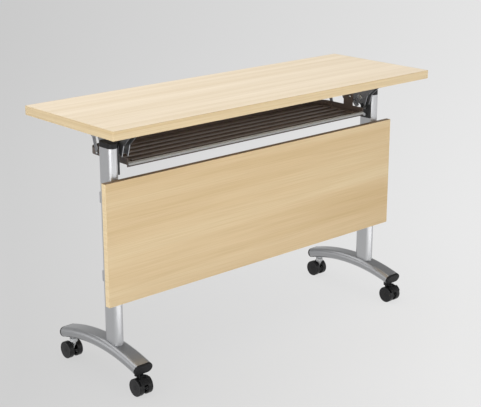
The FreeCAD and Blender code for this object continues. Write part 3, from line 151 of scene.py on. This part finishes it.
class Recipe:
    """A material while it is made: its tree and its principled shader."""

    def __init__(self, name: str) -> None:
        """Start a material.

        Args:
            name: Common name of the real finish.
        """
        self.material = bpy.data.materials.new(name)
        self.material.use_nodes = True
        self.tree = self.material.node_tree
        self.surface = self.tree.nodes["Principled BSDF"]
        self.output = self.tree.nodes["Material Output"]

    def add(self, kind: str, links: dict | None = None, **settings: object) -> bpy.types.Node:
        """Add a node, named without its "ShaderNode" prefix."""
        return add_node(self.tree, "ShaderNode" + kind, links, **settings)

    def grain(self, size: Point, detail: float, rough: float = 0.5) -> bpy.types.NodeSocket:
        """Lay an uneven grain over the piece.

        Args:
            size: Size of the grain along X, Y and Z, in metres.
            detail: How much finer grain lies in it.
            rough: How strong that finer grain is.
        Returns:
            A value from 0 to 1.
        """
        where = self.add("TexCoord").outputs["Object"]
        per_metre = tuple(1 / length for length in size)
        placed = self.add("Mapping", {"Vector": where, "Scale": per_metre}).outputs["Vector"]
        return self.add("TexNoise", {"Vector": placed, "Scale": 1.0, "Detail": detail,
                                     "Roughness": rough}).outputs["Fac"]

    def clouds(self, size: float, rough: float, uneven: float) -> bpy.types.NodeSocket:
        """Make a roughness that varies in soft clouds.

        Args:
            size: Size of the clouds, in metres.
            rough: Middle of the roughness.
            uneven: Width of its range.
        Returns:
            The roughness.
        """
        cloud = self.grain((size,) * 3, detail=2.0)
        return self.add("MapRange", {"Value": cloud, "To Min": rough - uneven / 2,
                                     "To Max": rough + uneven / 2}).outputs["Result"]

    def tone(self, value: bpy.types.NodeSocket, low: float, high: float, first: object,
             second: object) -> bpy.types.NodeSocket:
        """Fade from one colour to another.

        Args:
            value: What the fade follows.
            low: Where the first colour ends.
            high: Where the second colour starts.
            first: Colour below.
            second: Colour above.
        Returns:
            The colour.
        """
        amount = self.add("MapRange", {"Value": value, "From Min": low, "From Max": high})
        return self.add("Mix", {FACTOR: amount.outputs["Result"], FIRST: first,
                                SECOND: second}, data_type="RGBA").outputs[RESULT]

    def finish(self, colour: object, rough: object, metal: float, edge: float,
               height: bpy.types.NodeSocket | None = None, depth: float = 0.0,
               shine: float = 0.5) -> bpy.types.Material:
        """Set the principled shader.

        Args:
            colour: Base colour.
            rough: Roughness.
            metal: How metallic it is.
            edge: Radius that softens sharp edges, in metres.
            height: What roughens the surface.
            depth: Depth of that height, in metres.
            shine: Strength of its highlights, with 0.5 for a common plastic or lacquer.
        Returns:
            The material.
        """
        normal = self.add("Bevel", {"Radius": edge}, samples=EDGE_RAYS).outputs["Normal"]
        if height is not None:
            normal = self.add("Bump", {"Height": height, "Distance": depth, "Strength": 1.0,
                                       "Normal": normal}).outputs["Normal"]
        for socket, value in (("Base Color", colour), ("Roughness", rough), ("Metallic", metal),
                              ("Specular IOR Level", shine), ("Normal", normal)):
            feed(self.tree, self.surface.inputs[socket], value)
        return self.material


@dataclass(frozen=True)
class MapleLaminate:
    """Melamine laminate printed as maple: soft pale bands along the board, a satin sheen."""

    name: str
    grain: Grain
    light: str
    mid: str
    dark: str
    # Width and length of the bands
    band: float = 30.0 * MM
    run: float = 1500.0 * MM
    # Real fibres are finer: they are drawn this wide so that they show
    fibre: float = 2.2 * MM
    fibre_run: float = 240.0 * MM
    fibre_tint: str = "e9e2d6"
    fibre_weight: float = 0.42
    depth: float = 0.03 * MM
    rough: float = 0.42
    edge: float = 0.4 * MM
    # Where the dark, the middle and the light tone of the bands stand in their noise
    band_steps: Point = (0.30, 0.50, 0.70)
    fibre_steps: tuple[float, float] = (0.35, 0.60)

    def size(self, run: float, across: float) -> Point:
        """Give a grain's size along X, Y and Z from its run and its width."""
        if self.grain is Grain.FLAT:
            return run, across, NO_CHANGE
        return run, NO_CHANGE, across

    def build(self) -> bpy.types.Material:
        """Make the material.

        Returns:
            The material.
        """
        recipe = Recipe(self.name)
        broad = recipe.grain(self.size(self.run, self.band), detail=3.0, rough=0.45)
        low, middle, high = self.band_steps
        lower = recipe.tone(broad, low, middle, linear(self.dark), linear(self.mid))
        figure = recipe.tone(broad, middle, high, lower, linear(self.light))
        fine = recipe.grain(self.size(self.fibre_run, self.fibre), detail=2.0)
        fibres = recipe.tone(fine, *self.fibre_steps, linear(self.fibre_tint), linear("ffffff"))
        colour = recipe.add("Mix", {FACTOR: self.fibre_weight, FIRST: figure, SECOND: fibres},
                            data_type="RGBA", blend_type="MULTIPLY").outputs[RESULT]
        return recipe.finish(colour, self.rough, metal=0.0, edge=self.edge, height=fine,
                             depth=self.depth)


@dataclass(frozen=True)
class PanelBand:
    """Maple edge band of the panel: fine streaks, with a dark line of painted shade along its
    upper edge.
    """

    name: str
    colour: str
    tint: str
    painted_shade: str
    # Height of the painted shade line along the top, and how softly it starts
    shade_height: float
    fade: float = 0.6 * MM
    # Real fibres are finer: they are drawn this wide so that they show
    fibre: float = 4.0 * MM
    run: float = 500.0 * MM
    rough: float = 0.45
    edge: float = 0.4 * MM
    fibre_steps: tuple[float, float] = (0.30, 0.65)

    def build(self) -> bpy.types.Material:
        """Make the material.

        Returns:
            The material.
        """
        recipe = Recipe(self.name)
        fine = recipe.grain((self.run, self.run, self.fibre), detail=3.0)
        plain = recipe.tone(fine, *self.fibre_steps, linear(self.tint), linear(self.colour))
        where = recipe.add("TexCoord").outputs["Object"]
        height = recipe.add("SeparateXYZ", {"Vector": where}).outputs["Z"]
        # Painted shade: the band fades to a dark colour at its upper edge
        colour = recipe.tone(height, self.shade_height - self.fade, self.shade_height, plain, linear(self.painted_shade))
        return recipe.finish(colour, self.rough, metal=0.0, edge=self.edge)


@dataclass(frozen=True)
class PowderCoat:
    """Powder coat on steel: even colour, slight orange peel, soft long highlights."""

    name: str
    colour: str
    rough: float
    metal: float
    # Range of the roughness, and the size of the clouds that it varies in
    uneven: float = 0.10
    cloud: float = 110.0 * MM
    # Orange peel
    peel: float = 1.6 * MM
    depth: float = 0.02 * MM
    edge: float = 0.6 * MM

    def build(self) -> bpy.types.Material:
        """Make the material.

        Returns:
            The material.
        """
        recipe = Recipe(self.name)
        peel = recipe.grain((self.peel,) * 3, detail=2.0)
        rough = recipe.clouds(self.cloud, self.rough, self.uneven)
        return recipe.finish(linear(self.colour), rough, metal=self.metal, edge=self.edge,
                             height=peel, depth=self.depth)


@dataclass(frozen=True)
class Moulding:
    """Moulded plastic: fine spark texture, edges that catch a thin line of light."""

    name: str
    colour: str
    rough: float
    # Real spark texture is finer: it is drawn this coarse so that it shows
    spark: float = 0.9 * MM
    depth: float = 0.04 * MM
    edge: float = 0.8 * MM
    # Dulled by its texture
    shine: float = 0.28

    def build(self) -> bpy.types.Material:
        """Make the material.

        Returns:
            The material.
        """
        recipe = Recipe(self.name)
        spark = recipe.grain((self.spark,) * 3, detail=1.0)
        return recipe.finish(linear(self.colour), self.rough, metal=0.0, edge=self.edge,
                             height=spark, depth=self.depth, shine=self.shine)


@dataclass(frozen=True)
class BrightMetal:
    """Plated or plain metal of the small pieces: a sharp shine with faint clouds in it."""

    name: str
    colour: str
    rough: float = 0.28
    uneven: float = 0.16
    cloud: float = 8.0 * MM
    edge: float = 0.3 * MM

    def build(self) -> bpy.types.Material:
        """Make the material.

        Returns:
            The material.
        """
        recipe = Recipe(self.name)
        rough = recipe.clouds(self.cloud, self.rough, self.uneven)
        return recipe.finish(linear(self.colour), rough, metal=1.0, edge=self.edge)


def paint(material: bpy.types.Material, *nodes: str) -> None:
    """Give CAD nodes a material.

    Args:
        material: The material.
        nodes: Names of the nodes.
    """
    for name in nodes:
        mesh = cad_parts[name].data
        mesh.materials.clear()
        mesh.materials.append(material)
        LOG.info("%s: %s", name, material.name)


def both(name: str) -> tuple[str, ...]:
    """Name a node of both ends of the table."""
    return tuple("%s_%s" % (side.value, name) for side in Side)


def show(name: str, mesh: bpy.types.Mesh, slot: str) -> bpy.types.Object:
    """Put a finished piece in the scene.

    Args:
        name: Name of the piece.
        mesh: Its mesh, in the CAD model's frame.
        slot: Its material slot.
    Returns:
        The piece, which has still to follow a body.
    """
    mesh.name = name
    piece = bpy.data.objects.new(name, mesh)
    bpy.context.scene.collection.objects.link(piece)
    LOG.info("%s: %s", name, slot)
    return piece


def middle_of(node: str) -> Vector:
    """Give the middle of a CAD node's box."""
    low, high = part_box(node)
    return (Vector(low) + Vector(high)) / 2


@dataclass
class Pegs:
    """Short round pieces that lie along X, set at points by a node tree."""

    name: str
    points: list[Point]
    radius: float
    length: float
    sides: int

    def tree(self, material: bpy.types.Material) -> bpy.types.GeometryNodeTree:
        """Build the node tree.

        Args:
            material: Material of the pieces.
        Returns:
            The tree, with its sizes as named inputs.
        """
        tree = bpy.data.node_groups.new(self.name + "_nodes", "GeometryNodeTree")
        for title, kind in (("Points", "Geometry"), ("Radius", "Float"), ("Length", "Float"),
                            ("Sides", "Int")):
            tree.interface.new_socket(title, in_out="INPUT", socket_type="NodeSocket" + kind)
        tree.interface.new_socket("Pegs", in_out="OUTPUT", socket_type="NodeSocketGeometry")
        given = add_node(tree, "NodeGroupInput").outputs
        peg = add_node(tree, "GeometryNodeMeshCylinder",
                       {"Radius": given["Radius"], "Depth": given["Length"],
                        "Vertices": given["Sides"]})
        turn = add_node(tree, "FunctionNodeEulerToRotation",
                        {"Euler": (0.0, math.pi / 2, 0.0)})
        pegs = add_node(tree, "GeometryNodeInstanceOnPoints",
                        {"Points": given["Points"], "Instance": peg.outputs["Mesh"],
                         "Rotation": turn.outputs["Rotation"]})
        real = add_node(tree, "GeometryNodeRealizeInstances",
                        {"Geometry": pegs.outputs["Instances"]})
        coated = add_node(tree, "GeometryNodeSetMaterial",
                          {"Geometry": real.outputs["Geometry"], "Material": material})
        add_node(tree, "NodeGroupOutput", {"Pegs": coated.outputs["Geometry"]})
        return tree

    def build(self, material: bpy.types.Material) -> bpy.types.Mesh:
        """Make the pieces as one plain mesh.

        Args:
            material: Their material.
        Returns:
            The mesh.
        """
        seeds = bpy.data.meshes.new(self.name + "_points")
        seeds.from_pydata(self.points, [], [])
        maker = bpy.data.objects.new(self.name + "_maker", seeds)
        bpy.context.scene.collection.objects.link(maker)
        modifier = maker.modifiers.new(self.name, "NODES")
        modifier.node_group = self.tree(material)
        values = {"Radius": self.radius, "Length": self.length, "Sides": self.sides}
        for item in modifier.node_group.interface.items_tree:
            if item.name in values:
                modifier[item.identifier] = values[item.name]
        shape = maker.evaluated_get(bpy.context.evaluated_depsgraph_get())
        mesh = bpy.data.meshes.new_from_object(shape)
        bpy.data.objects.remove(maker)
        return mesh


@dataclass
class Boards:
    """Work top and modesty panel with their edge bands."""

    # Pale cream maple with quiet grain
    top: MapleLaminate = MapleLaminate("maple_laminate_top", Grain.FLAT,
                                       "f8e8cf", "f2e1c6", "ebd8b8")
    # The same maple a shade deeper, with more grain
    panel: MapleLaminate = MapleLaminate("maple_laminate_panel", Grain.UPRIGHT,
                                         "d6c19a", "d0b78d", "c8ad80", band=48.0 * MM)
    # Warmer strip that outlines the top
    top_band: MapleLaminate = MapleLaminate("maple_edge_band", Grain.UPRIGHT,
                                            "e2cea9", "dac49c", "d2b98d", band=8.0 * MM)
    # Strip that outlines the panel, with a line of painted shade along the top
    panel_band: PanelBand = PanelBand("maple_panel_band", "e4cfa8", "d8c095", "80684a",
                                      shade_height=583.6 * MM)

    def dress(self) -> None:
        """Give the boards their laminate."""
        paint(self.top.build(), "table_top")
        paint(self.panel.build(), "modesty_panel")
        paint(self.top_band.build(), "top_edge_band")
        paint(self.panel_band.build(), "panel_edge_band")


@dataclass
class Frame:
    """Columns and feet with their caps, and what holds the panel."""

    # Satin silver that takes long soft highlights down the tubes
    coat: PowderCoat = PowderCoat("silver_powder_coat", "bebfc1", rough=0.32, metal=0.87)
    # The same coat a shade deeper as painted shade, which lets the feet settle on the floor
    shaded_foot_coat: PowderCoat = PowderCoat("shaded_silver_powder_coat", "a6a7a9", rough=0.32,
                                       metal=0.87)
    # Dull black plugs that end each tube
    cap: Moulding = Moulding("black_polypropylene", "131315", rough=0.50)
    # Small cold glints at the joints
    bolt: BrightMetal = BrightMetal("zinc_plated_steel", "b9bbbd")
    # Warm glint inside the panel
    brass: BrightMetal = BrightMetal("plain_brass", "c79a4a")

    def dress(self) -> None:
        """Give the fixed frame its finishes."""
        paint(self.coat.build(), *both("column"), "panel_saddles")
        # The feet take the darker copy of the coat: painted shade
        paint(self.shaded_foot_coat.build(), *both("foot"))
        caps = ["%s_foot_%s_cap" % (side.value, row.value) for side in Side for row in Row]
        paint(self.cap.build(), *both("column_cap"), *caps)
        paint(self.bolt.build(), "panel_bolts", "head_bolts", *both("pivot_bolt"), "catch_pins",
              "caster_sockets", "caster_stems", "arm_screws", "brace_screws", "tray_screws",
              "latch_pins")
        paint(self.brass.build(), "panel_inserts")


@dataclass
class FlipGear:
    """Head brackets, swing arms, braces, bushes, and latch levers with their springs."""

    # Black that sinks the brackets into the shade under the top
    plate: PowderCoat = PowderCoat("black_powder_coat", "1b1c1e", rough=0.45, metal=0.0)
    # Mid grey, darker than the columns, with soft edges of light
    arm: PowderCoat = PowderCoat("grey_powder_coat", "858689", rough=0.34, metal=0.85)
    # Pale collar round each pivot
    bush: Moulding = Moulding("bearing_acetal", "cfcfca", rough=0.35)
    # Grey that sets the handles apart from the arms
    lever: Moulding = Moulding("lever_nylon", "8f9195", rough=0.42)
    # Cold glint of the leaf inside each arm
    spring: BrightMetal = BrightMetal("spring_steel", "b4b6b9")
    # Flat length of a leaf under the arm, before it slants down to its lever
    spring_flat: float = 22.0 * MM
    spring_thick: float = 0.8 * MM
    # How finely the slanting length can curve
    spring_cuts: int = 12
    # Corners of the CAD mesh nearer than this are one point
    weld: float = 0.01 * MM

    def dress(self) -> None:
        """Give the flip gear its finishes, and the latches springs cut into short lengths."""
        paint(self.plate.build(), *both("head_bracket"))
        paint(self.arm.build(), *both("swing_arm"), *both("brace"))
        paint(self.bush.build(), *both("pivot_bush"))
        paint(self.lever.build(), *both("latch_lever"))
        steel = self.spring.build()
        for side in Side:
            self.bend_spring(side, steel)

    def bend_spring(self, side: Side, material: bpy.types.Material) -> None:
        """Put a leaf, cut across so that its slanting length could curve, in the place of the
        rigid one.

        Args:
            side: End of the table.
            material: The leaf's material.
        """
        node = side.value + "_latch_spring"
        low, high = (Vector(corner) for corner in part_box(node))
        start = Vector((low.x, low.y + self.spring_flat, high.z - self.spring_thick))
        end = Vector((low.x, high.y - self.spring_thick, low.z))
        leaf = bmesh.new()
        leaf.from_mesh(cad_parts[node].data)
        bmesh.ops.remove_doubles(leaf, verts=leaf.verts, dist=self.weld)
        for step in range(self.spring_cuts):
            bmesh.ops.bisect_plane(leaf, geom=leaf.verts[:] + leaf.edges[:] + leaf.faces[:],
                                   plane_co=start.lerp(end, step / self.spring_cuts),
                                   plane_no=ALONG_Y)
        for face in leaf.faces:
            face.smooth = False
        mesh = bpy.data.meshes.new(node)
        leaf.to_mesh(mesh)
        leaf.free()
        mesh.materials.append(material)
        piece = show(side.value + "_latch_leaf", mesh, "zinc_steel")
        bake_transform(piece)
        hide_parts(node)


@dataclass
class BookTray:
    """Ribbed tray and its front trim."""

    # Dark brown-black with a soft shine along the ribs
    tray: Moulding = Moulding("tray_abs", "5a4f49", rough=0.36)
    # Pale line along the tray's front edge
    trim: Moulding = Moulding("trim_abs", "9fa1a1", rough=0.30, edge=1.2 * MM)

    def dress(self) -> None:
        """Give the tray its finishes."""
        paint(self.tray.build(), "book_tray")
        paint(self.trim.build(), "tray_front_trim")


@dataclass
class Casters:
    """Twin-wheel casters with hub caps, pale wheel cores, and grips on the brake pedals."""

    # Deep black of the braked casters
    body: Moulding = Moulding("black_caster_nylon", "141416", rough=0.42)
    # Pale grey that shows between the wheels of the rear casters
    pale: Moulding = Moulding("grey_caster_nylon", "c9cbcd", rough=0.38)
    # Black with a faint shine round the rims
    wheel: Moulding = Moulding("wheel_nylon", "1a1a1c", rough=0.36)
    # Mid grey that lightens the hollow of each wheel
    core: Moulding = Moulding("wheel_core_nylon", "8c8e90", rough=0.45)
    # Dull steel glint between the wheels
    steel: BrightMetal = BrightMetal("axle_steel", "9a9c9f")
    # Hub cap in the outer face of each wheel
    cap_radius: float = 6.5 * MM
    cap_length: float = 1.2 * MM
    # Share of its length that a hub cap's middle lies inside the face
    cap_sunk: float = 0.3
    cap_sides: int = 24
    # Pale ring in the hollow inner side of each wheel
    core_radii: tuple[float, float] = (7.6 * MM, 20.3 * MM)
    core_thick: float = 0.6 * MM
    core_sides: int = 64
    # Thickness of a wheel's outer disc, which the core lies behind
    disc: float = 4.5 * MM
    # Grip ribs on a brake pedal
    grip_radius: float = 0.8 * MM
    grip_length: float = 26.0 * MM
    grip_sides: int = 12
    # Where the ribs lie: distance from the axle, and degrees up from the front
    grip_reach: float = 31.2 * MM
    grip_angles: tuple[float, ...] = (29.0, 35.0, 41.0, 47.0, 53.0)

    def dress(self) -> None:
        """Give the casters their finishes and small pieces."""
        body, pale, wheel = self.body.build(), self.pale.build(), self.wheel.build()
        core, steel = self.core.build(), self.steel.build()
        for row in Row:
            for side in Side:
                name = "%s_%s" % (row.value, side.value)
                paint(body if row is Row.FRONT else pale, name + "_caster_yoke")
                paint(steel, name + "_caster_axle")
                for end in Side:
                    paint(wheel, "%s_%s_wheel" % (name, end.value))
                    self.hub_cap(name, end, body)
                    self.wheel_core(name, end, core)
                if row is Row.FRONT:
                    paint(body, name + "_brake_pedal")
                    self.pedal_grip(name, wheel)

    def outer_face(self, name: str, end: Side) -> tuple[Vector, float]:
        """Find the outer face of a wheel.

        Args:
            name: The caster.
            end: Which of its wheels.
        Returns:
            The middle of the face, and the direction along X from it into the wheel.
        """
        node = "%s_%s_wheel" % (name, end.value)
        low, high = (Vector(corner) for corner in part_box(node))
        middle = (low + high) / 2
        if end is Side.LEFT:
            return Vector((low.x, middle.y, middle.z)), 1.0
        return Vector((high.x, middle.y, middle.z)), -1.0

    def hub_cap(self, name: str, end: Side, material: bpy.types.Material) -> None:
        """Set a cap in the outer face of a wheel.

        Args:
            name: The caster.
            end: Which of its wheels.
            material: The cap's material.
        """
        face, inward = self.outer_face(name, end)
        face.x += inward * self.cap_length * self.cap_sunk
        title = "%s_%s_hub_cap" % (name, end.value)
        cap = Pegs(title, [tuple(face)], self.cap_radius, self.cap_length, self.cap_sides)
        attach(show(title, cap.build(material), "caster_plastic"),
                "%s_%s_roller" % (name, end.value))

    def wheel_core(self, name: str, end: Side, material: bpy.types.Material) -> None:
        """Line the hollow inner side of a wheel with a pale ring.

        Args:
            name: The caster.
            end: Which of its wheels.
            material: The ring's material.
        """
        face, inward = self.outer_face(name, end)
        near = face.x + inward * self.disc
        far = near + inward * self.core_thick
        small, large = self.core_radii
        section = ((near, small), (near, large), (far, large), (far, small))
        ring = bmesh.new()
        loops = []
        for step in range(self.core_sides):
            angle = math.tau * step / self.core_sides
            y, z = math.cos(angle), math.sin(angle)
            loops.append([ring.verts.new((x, face.y + radius * y, face.z + radius * z))
                          for x, radius in section])
        for loop, after in zip(loops, loops[1:] + loops[:1]):
            for index in range(len(section)):
                ring.faces.new((loop[index - 1], loop[index], after[index], after[index - 1]))
        bmesh.ops.recalc_face_normals(ring, faces=ring.faces)
        mesh = bpy.data.meshes.new("wheel_core")
        ring.to_mesh(mesh)
        ring.free()
        mesh.materials.append(material)
        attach(show("%s_%s_wheel_core" % (name, end.value), mesh, "wheel_plastic"),
                "%s_%s_roller" % (name, end.value))

    def pedal_grip(self, name: str, material: bpy.types.Material) -> None:
        """Set a row of grip ribs on a front caster's brake pedal.

        Args:
            name: The caster.
            material: Material of the ribs.
        """
        axle = middle_of(name + "_caster_axle")
        spots = []
        for degrees in self.grip_angles:
            angle = math.radians(degrees)
            spots.append((axle.x, axle.y - self.grip_reach * math.cos(angle),
                          axle.z + self.grip_reach * math.sin(angle)))
        grip = Pegs(name + "_pedal_grip", spots, self.grip_radius, self.grip_length,
                    self.grip_sides)
        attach(show(grip.name, grip.build(material), "caster_plastic"), name + "_brake")


@dataclass(frozen=True)
class Lamp:
    """Soft box: where it stands, where it points, its size and its power."""

    name: str
    spot: Point
    target: Point
    size: tuple[float, float]
    power: float


@dataclass
class Studio:
    """Camera, lamps, sky and floor."""

    # Camera: its place in metres, its directions in degrees, its lens and film in millimetres
    eye: Point = (-2.2195, -2.4605, 1.4224)
    yaw: float = 47.977
    pitch: float = -17.191
    focal: float = 87.36
    sensor: float = 36.0
    # Half the width of the floor
    reach: float = 30.0
    # The floor's fade fans out from the camera, and runs straight nearer than this
    near: float = 3.0
    # Floor at the left and at the right of the picture
    dim: str = "d0d0d0"
    pale: str = "ebebeb"
    # Share of the floor that shows its plain colour, the rest being lit and shaded
    glow: float = 0.88
    # Light that the sky gives
    sky_light: str = "f4f4f4"
    sky_power: float = 0.50
    # How the sky looks, at the horizon and overhead
    sky_low: str = "dbdbdb"
    sky_high: str = "8e8e8e"
    # Height of the direction at which the sky is darkest
    sky_fade: float = 0.6
    lamps: tuple[Lamp, ...] = (
        Lamp("key", (0.6, -3.8, 3.0), (0.0, 0.0, 0.5), (2.4, 2.0), 8.0),
        Lamp("low_front", (-2.2, -2.2, 0.42), (-0.3, 0.0, 0.25), (2.2, 0.8), 1.5),
        Lamp("left", (-3.0, -0.9, 0.5), (0.0, 0.0, 0.4), (2.2, 1.0), 25.0),
        Lamp("card", (-0.2, -0.75, 0.004), (-0.2, -0.75, 1.0), (2.4, 0.6), 6.6),
        Lamp("far_card", (-0.5, -1.8, 0.004), (-0.5, -1.8, 1.0), (2.8, 1.2), 9.0),
        Lamp("back_left", (-3.0, 2.4, 1.6), (0.0, 0.0, 0.3), (2.4, 2.0), 14.0),
        Lamp("over", (-0.4, 0.6, 3.6), (0.0, 0.0, 0.6), (4.6, 4.6), 91.0),
        Lamp("front_wall", (3.2, -3.4, 1.1), (0.0, 0.0, 0.6), (4.2, 2.2), 29.0),
    )

    def aim(self, thing: bpy.types.Object, way: Vector) -> None:
        """Turn a camera or a lamp to look along a direction."""
        thing.rotation_euler = way.to_track_quat("-Z", "Y").to_euler()

    def camera(self) -> None:
        """Make the camera that matches the photograph's view."""
        data = bpy.data.cameras.new("camera")
        data.lens = self.focal
        data.sensor_width = self.sensor
        eye = bpy.data.objects.new("camera", data)
        bpy.context.scene.collection.objects.link(eye)
        eye.location = self.eye
        yaw, pitch = math.radians(self.yaw), math.radians(self.pitch)
        level = math.cos(pitch)
        self.aim(eye, Vector((math.cos(yaw) * level, math.sin(yaw) * level, math.sin(pitch))))
        bpy.context.scene.camera = eye

    def light(self) -> None:
        """Make the soft lamps."""
        for lamp in self.lamps:
            data = bpy.data.lights.new(lamp.name, "AREA")
            data.shape = "RECTANGLE"
            data.size, data.size_y = lamp.size
            data.energy = lamp.power
            thing = bpy.data.objects.new(lamp.name, data)
            bpy.context.scene.collection.objects.link(thing)
            thing.location = lamp.spot
            thing.visible_camera = False
            self.aim(thing, Vector(lamp.target) - Vector(lamp.spot))

    def looked_at(self, tree: bpy.types.NodeTree) -> bpy.types.NodeSocket:
        """Tell rays that see the background, straight or in a shine, from those that light.

        Args:
            tree: Node tree of the floor's material or of the sky.
        Returns:
            One for a ray that sees, zero for a ray that lights.
        """
        path = add_node(tree, "ShaderNodeLightPath").outputs
        shine = add_node(tree, "ShaderNodeMath", {0: path["Is Glossy Ray"],
                                                  1: path["Is Transmission Ray"]},
                         operation="MAXIMUM")
        return add_node(tree, "ShaderNodeMath", {0: path["Is Camera Ray"], 1: shine.outputs[0]},
                        operation="MAXIMUM").outputs[0]

    def sky(self) -> None:
        """Make the sky: an even soft light, seen as a grey that darkens overhead."""
        world = bpy.data.worlds.new("studio_sky")
        world.use_nodes = True
        tree = world.node_tree
        soft = tree.nodes["Background"]
        feed(tree, soft.inputs["Color"], linear(self.sky_light))
        feed(tree, soft.inputs["Strength"], self.sky_power)
        way = add_node(tree, "ShaderNodeTexCoord").outputs["Generated"]
        height = add_node(tree, "ShaderNodeSeparateXYZ", {"Vector": way}).outputs["Z"]
        rise = add_node(tree, "ShaderNodeMapRange", {"Value": height,
                                                     "From Max": self.sky_fade})
        grey = add_node(tree, "ShaderNodeMix", {FACTOR: rise.outputs["Result"],
                                                FIRST: linear(self.sky_low),
                                                SECOND: linear(self.sky_high)},
                        data_type="RGBA")
        back = add_node(tree, "ShaderNodeBackground", {"Color": grey.outputs[RESULT]})
        whole = add_node(tree, "ShaderNodeMixShader", {0: self.looked_at(tree),
                                                       1: soft.outputs["Background"],
                                                       2: back.outputs["Background"]})
        feed(tree, tree.nodes["World Output"].inputs["Surface"], whole.outputs["Shader"])
        bpy.context.scene.world = world

    def floor(self) -> None:
        """Make the pale floor: paler to the right, with only a faint shadow on it."""
        half = self.reach
        mesh = bpy.data.meshes.new("floor")
        mesh.from_pydata([(-half, -half, 0), (half, -half, 0), (half, half, 0), (-half, half, 0)],
                         [], [(0, 1, 2, 3)])
        plane = bpy.data.objects.new("floor", mesh)
        bpy.context.scene.collection.objects.link(plane)
        mesh.materials.append(self.floor_paint())

    def floor_paint(self) -> bpy.types.Material:
        """Make the floor's paint, a soft ramp of grey from the left to the right.

        Returns:
            The material.
        """
        recipe = Recipe("studio_floor")
        yaw = math.radians(self.yaw)
        where = recipe.add("TexCoord").outputs["Object"]
        offset = recipe.add("VectorMath", {0: where, 1: (self.eye[0], self.eye[1], 0.0)},
                            operation="SUBTRACT").outputs[0]
        across = recipe.add("VectorMath", {0: offset, 1: (math.sin(yaw), -math.cos(yaw), 0.0)},
                            operation="DOT_PRODUCT").outputs["Value"]
        ahead = recipe.add("VectorMath", {0: offset, 1: (math.cos(yaw), math.sin(yaw), 0.0)},
                           operation="DOT_PRODUCT").outputs["Value"]
        away = recipe.add("Math", {0: ahead, 1: self.near}, operation="MAXIMUM").outputs[0]
        fan = recipe.add("Math", {0: across, 1: away}, operation="DIVIDE").outputs[0]
        edge = self.sensor / 2 / self.focal
        grey = recipe.tone(fan, -edge, edge, linear(self.dim), linear(self.pale))
        for socket, value in (("Base Color", grey), ("Roughness", 1.0),
                              ("Specular IOR Level", 0.0)):
            feed(recipe.tree, recipe.surface.inputs[socket], value)
        glow = recipe.add("Emission", {"Color": grey, "Strength": 1.0})
        amount = recipe.add("Math", {0: self.looked_at(recipe.tree), 1: self.glow},
                            operation="MULTIPLY").outputs[0]
        blend = recipe.add("MixShader", {0: amount, 1: recipe.surface.outputs["BSDF"],
                                         2: glow.outputs["Emission"]})
        feed(recipe.tree, recipe.output.inputs["Surface"], blend.outputs["Shader"])
        return recipe.material

    def dress(self) -> None:
        """Make the whole studio."""
        self.camera()
        self.light()
        self.sky()
        self.floor()
        bpy.context.scene.view_settings.view_transform = "Standard"


def main() -> None:
    """Dress the table and set up its studio."""
    logging.basicConfig(level=logging.INFO)
    for part in (Boards(), Frame(), FlipGear(), BookTray(), Casters(), Studio()):
        part.dress()
        LOG.info("%s done", type(part).__name__)


if __name__ == "__main__":
    main()
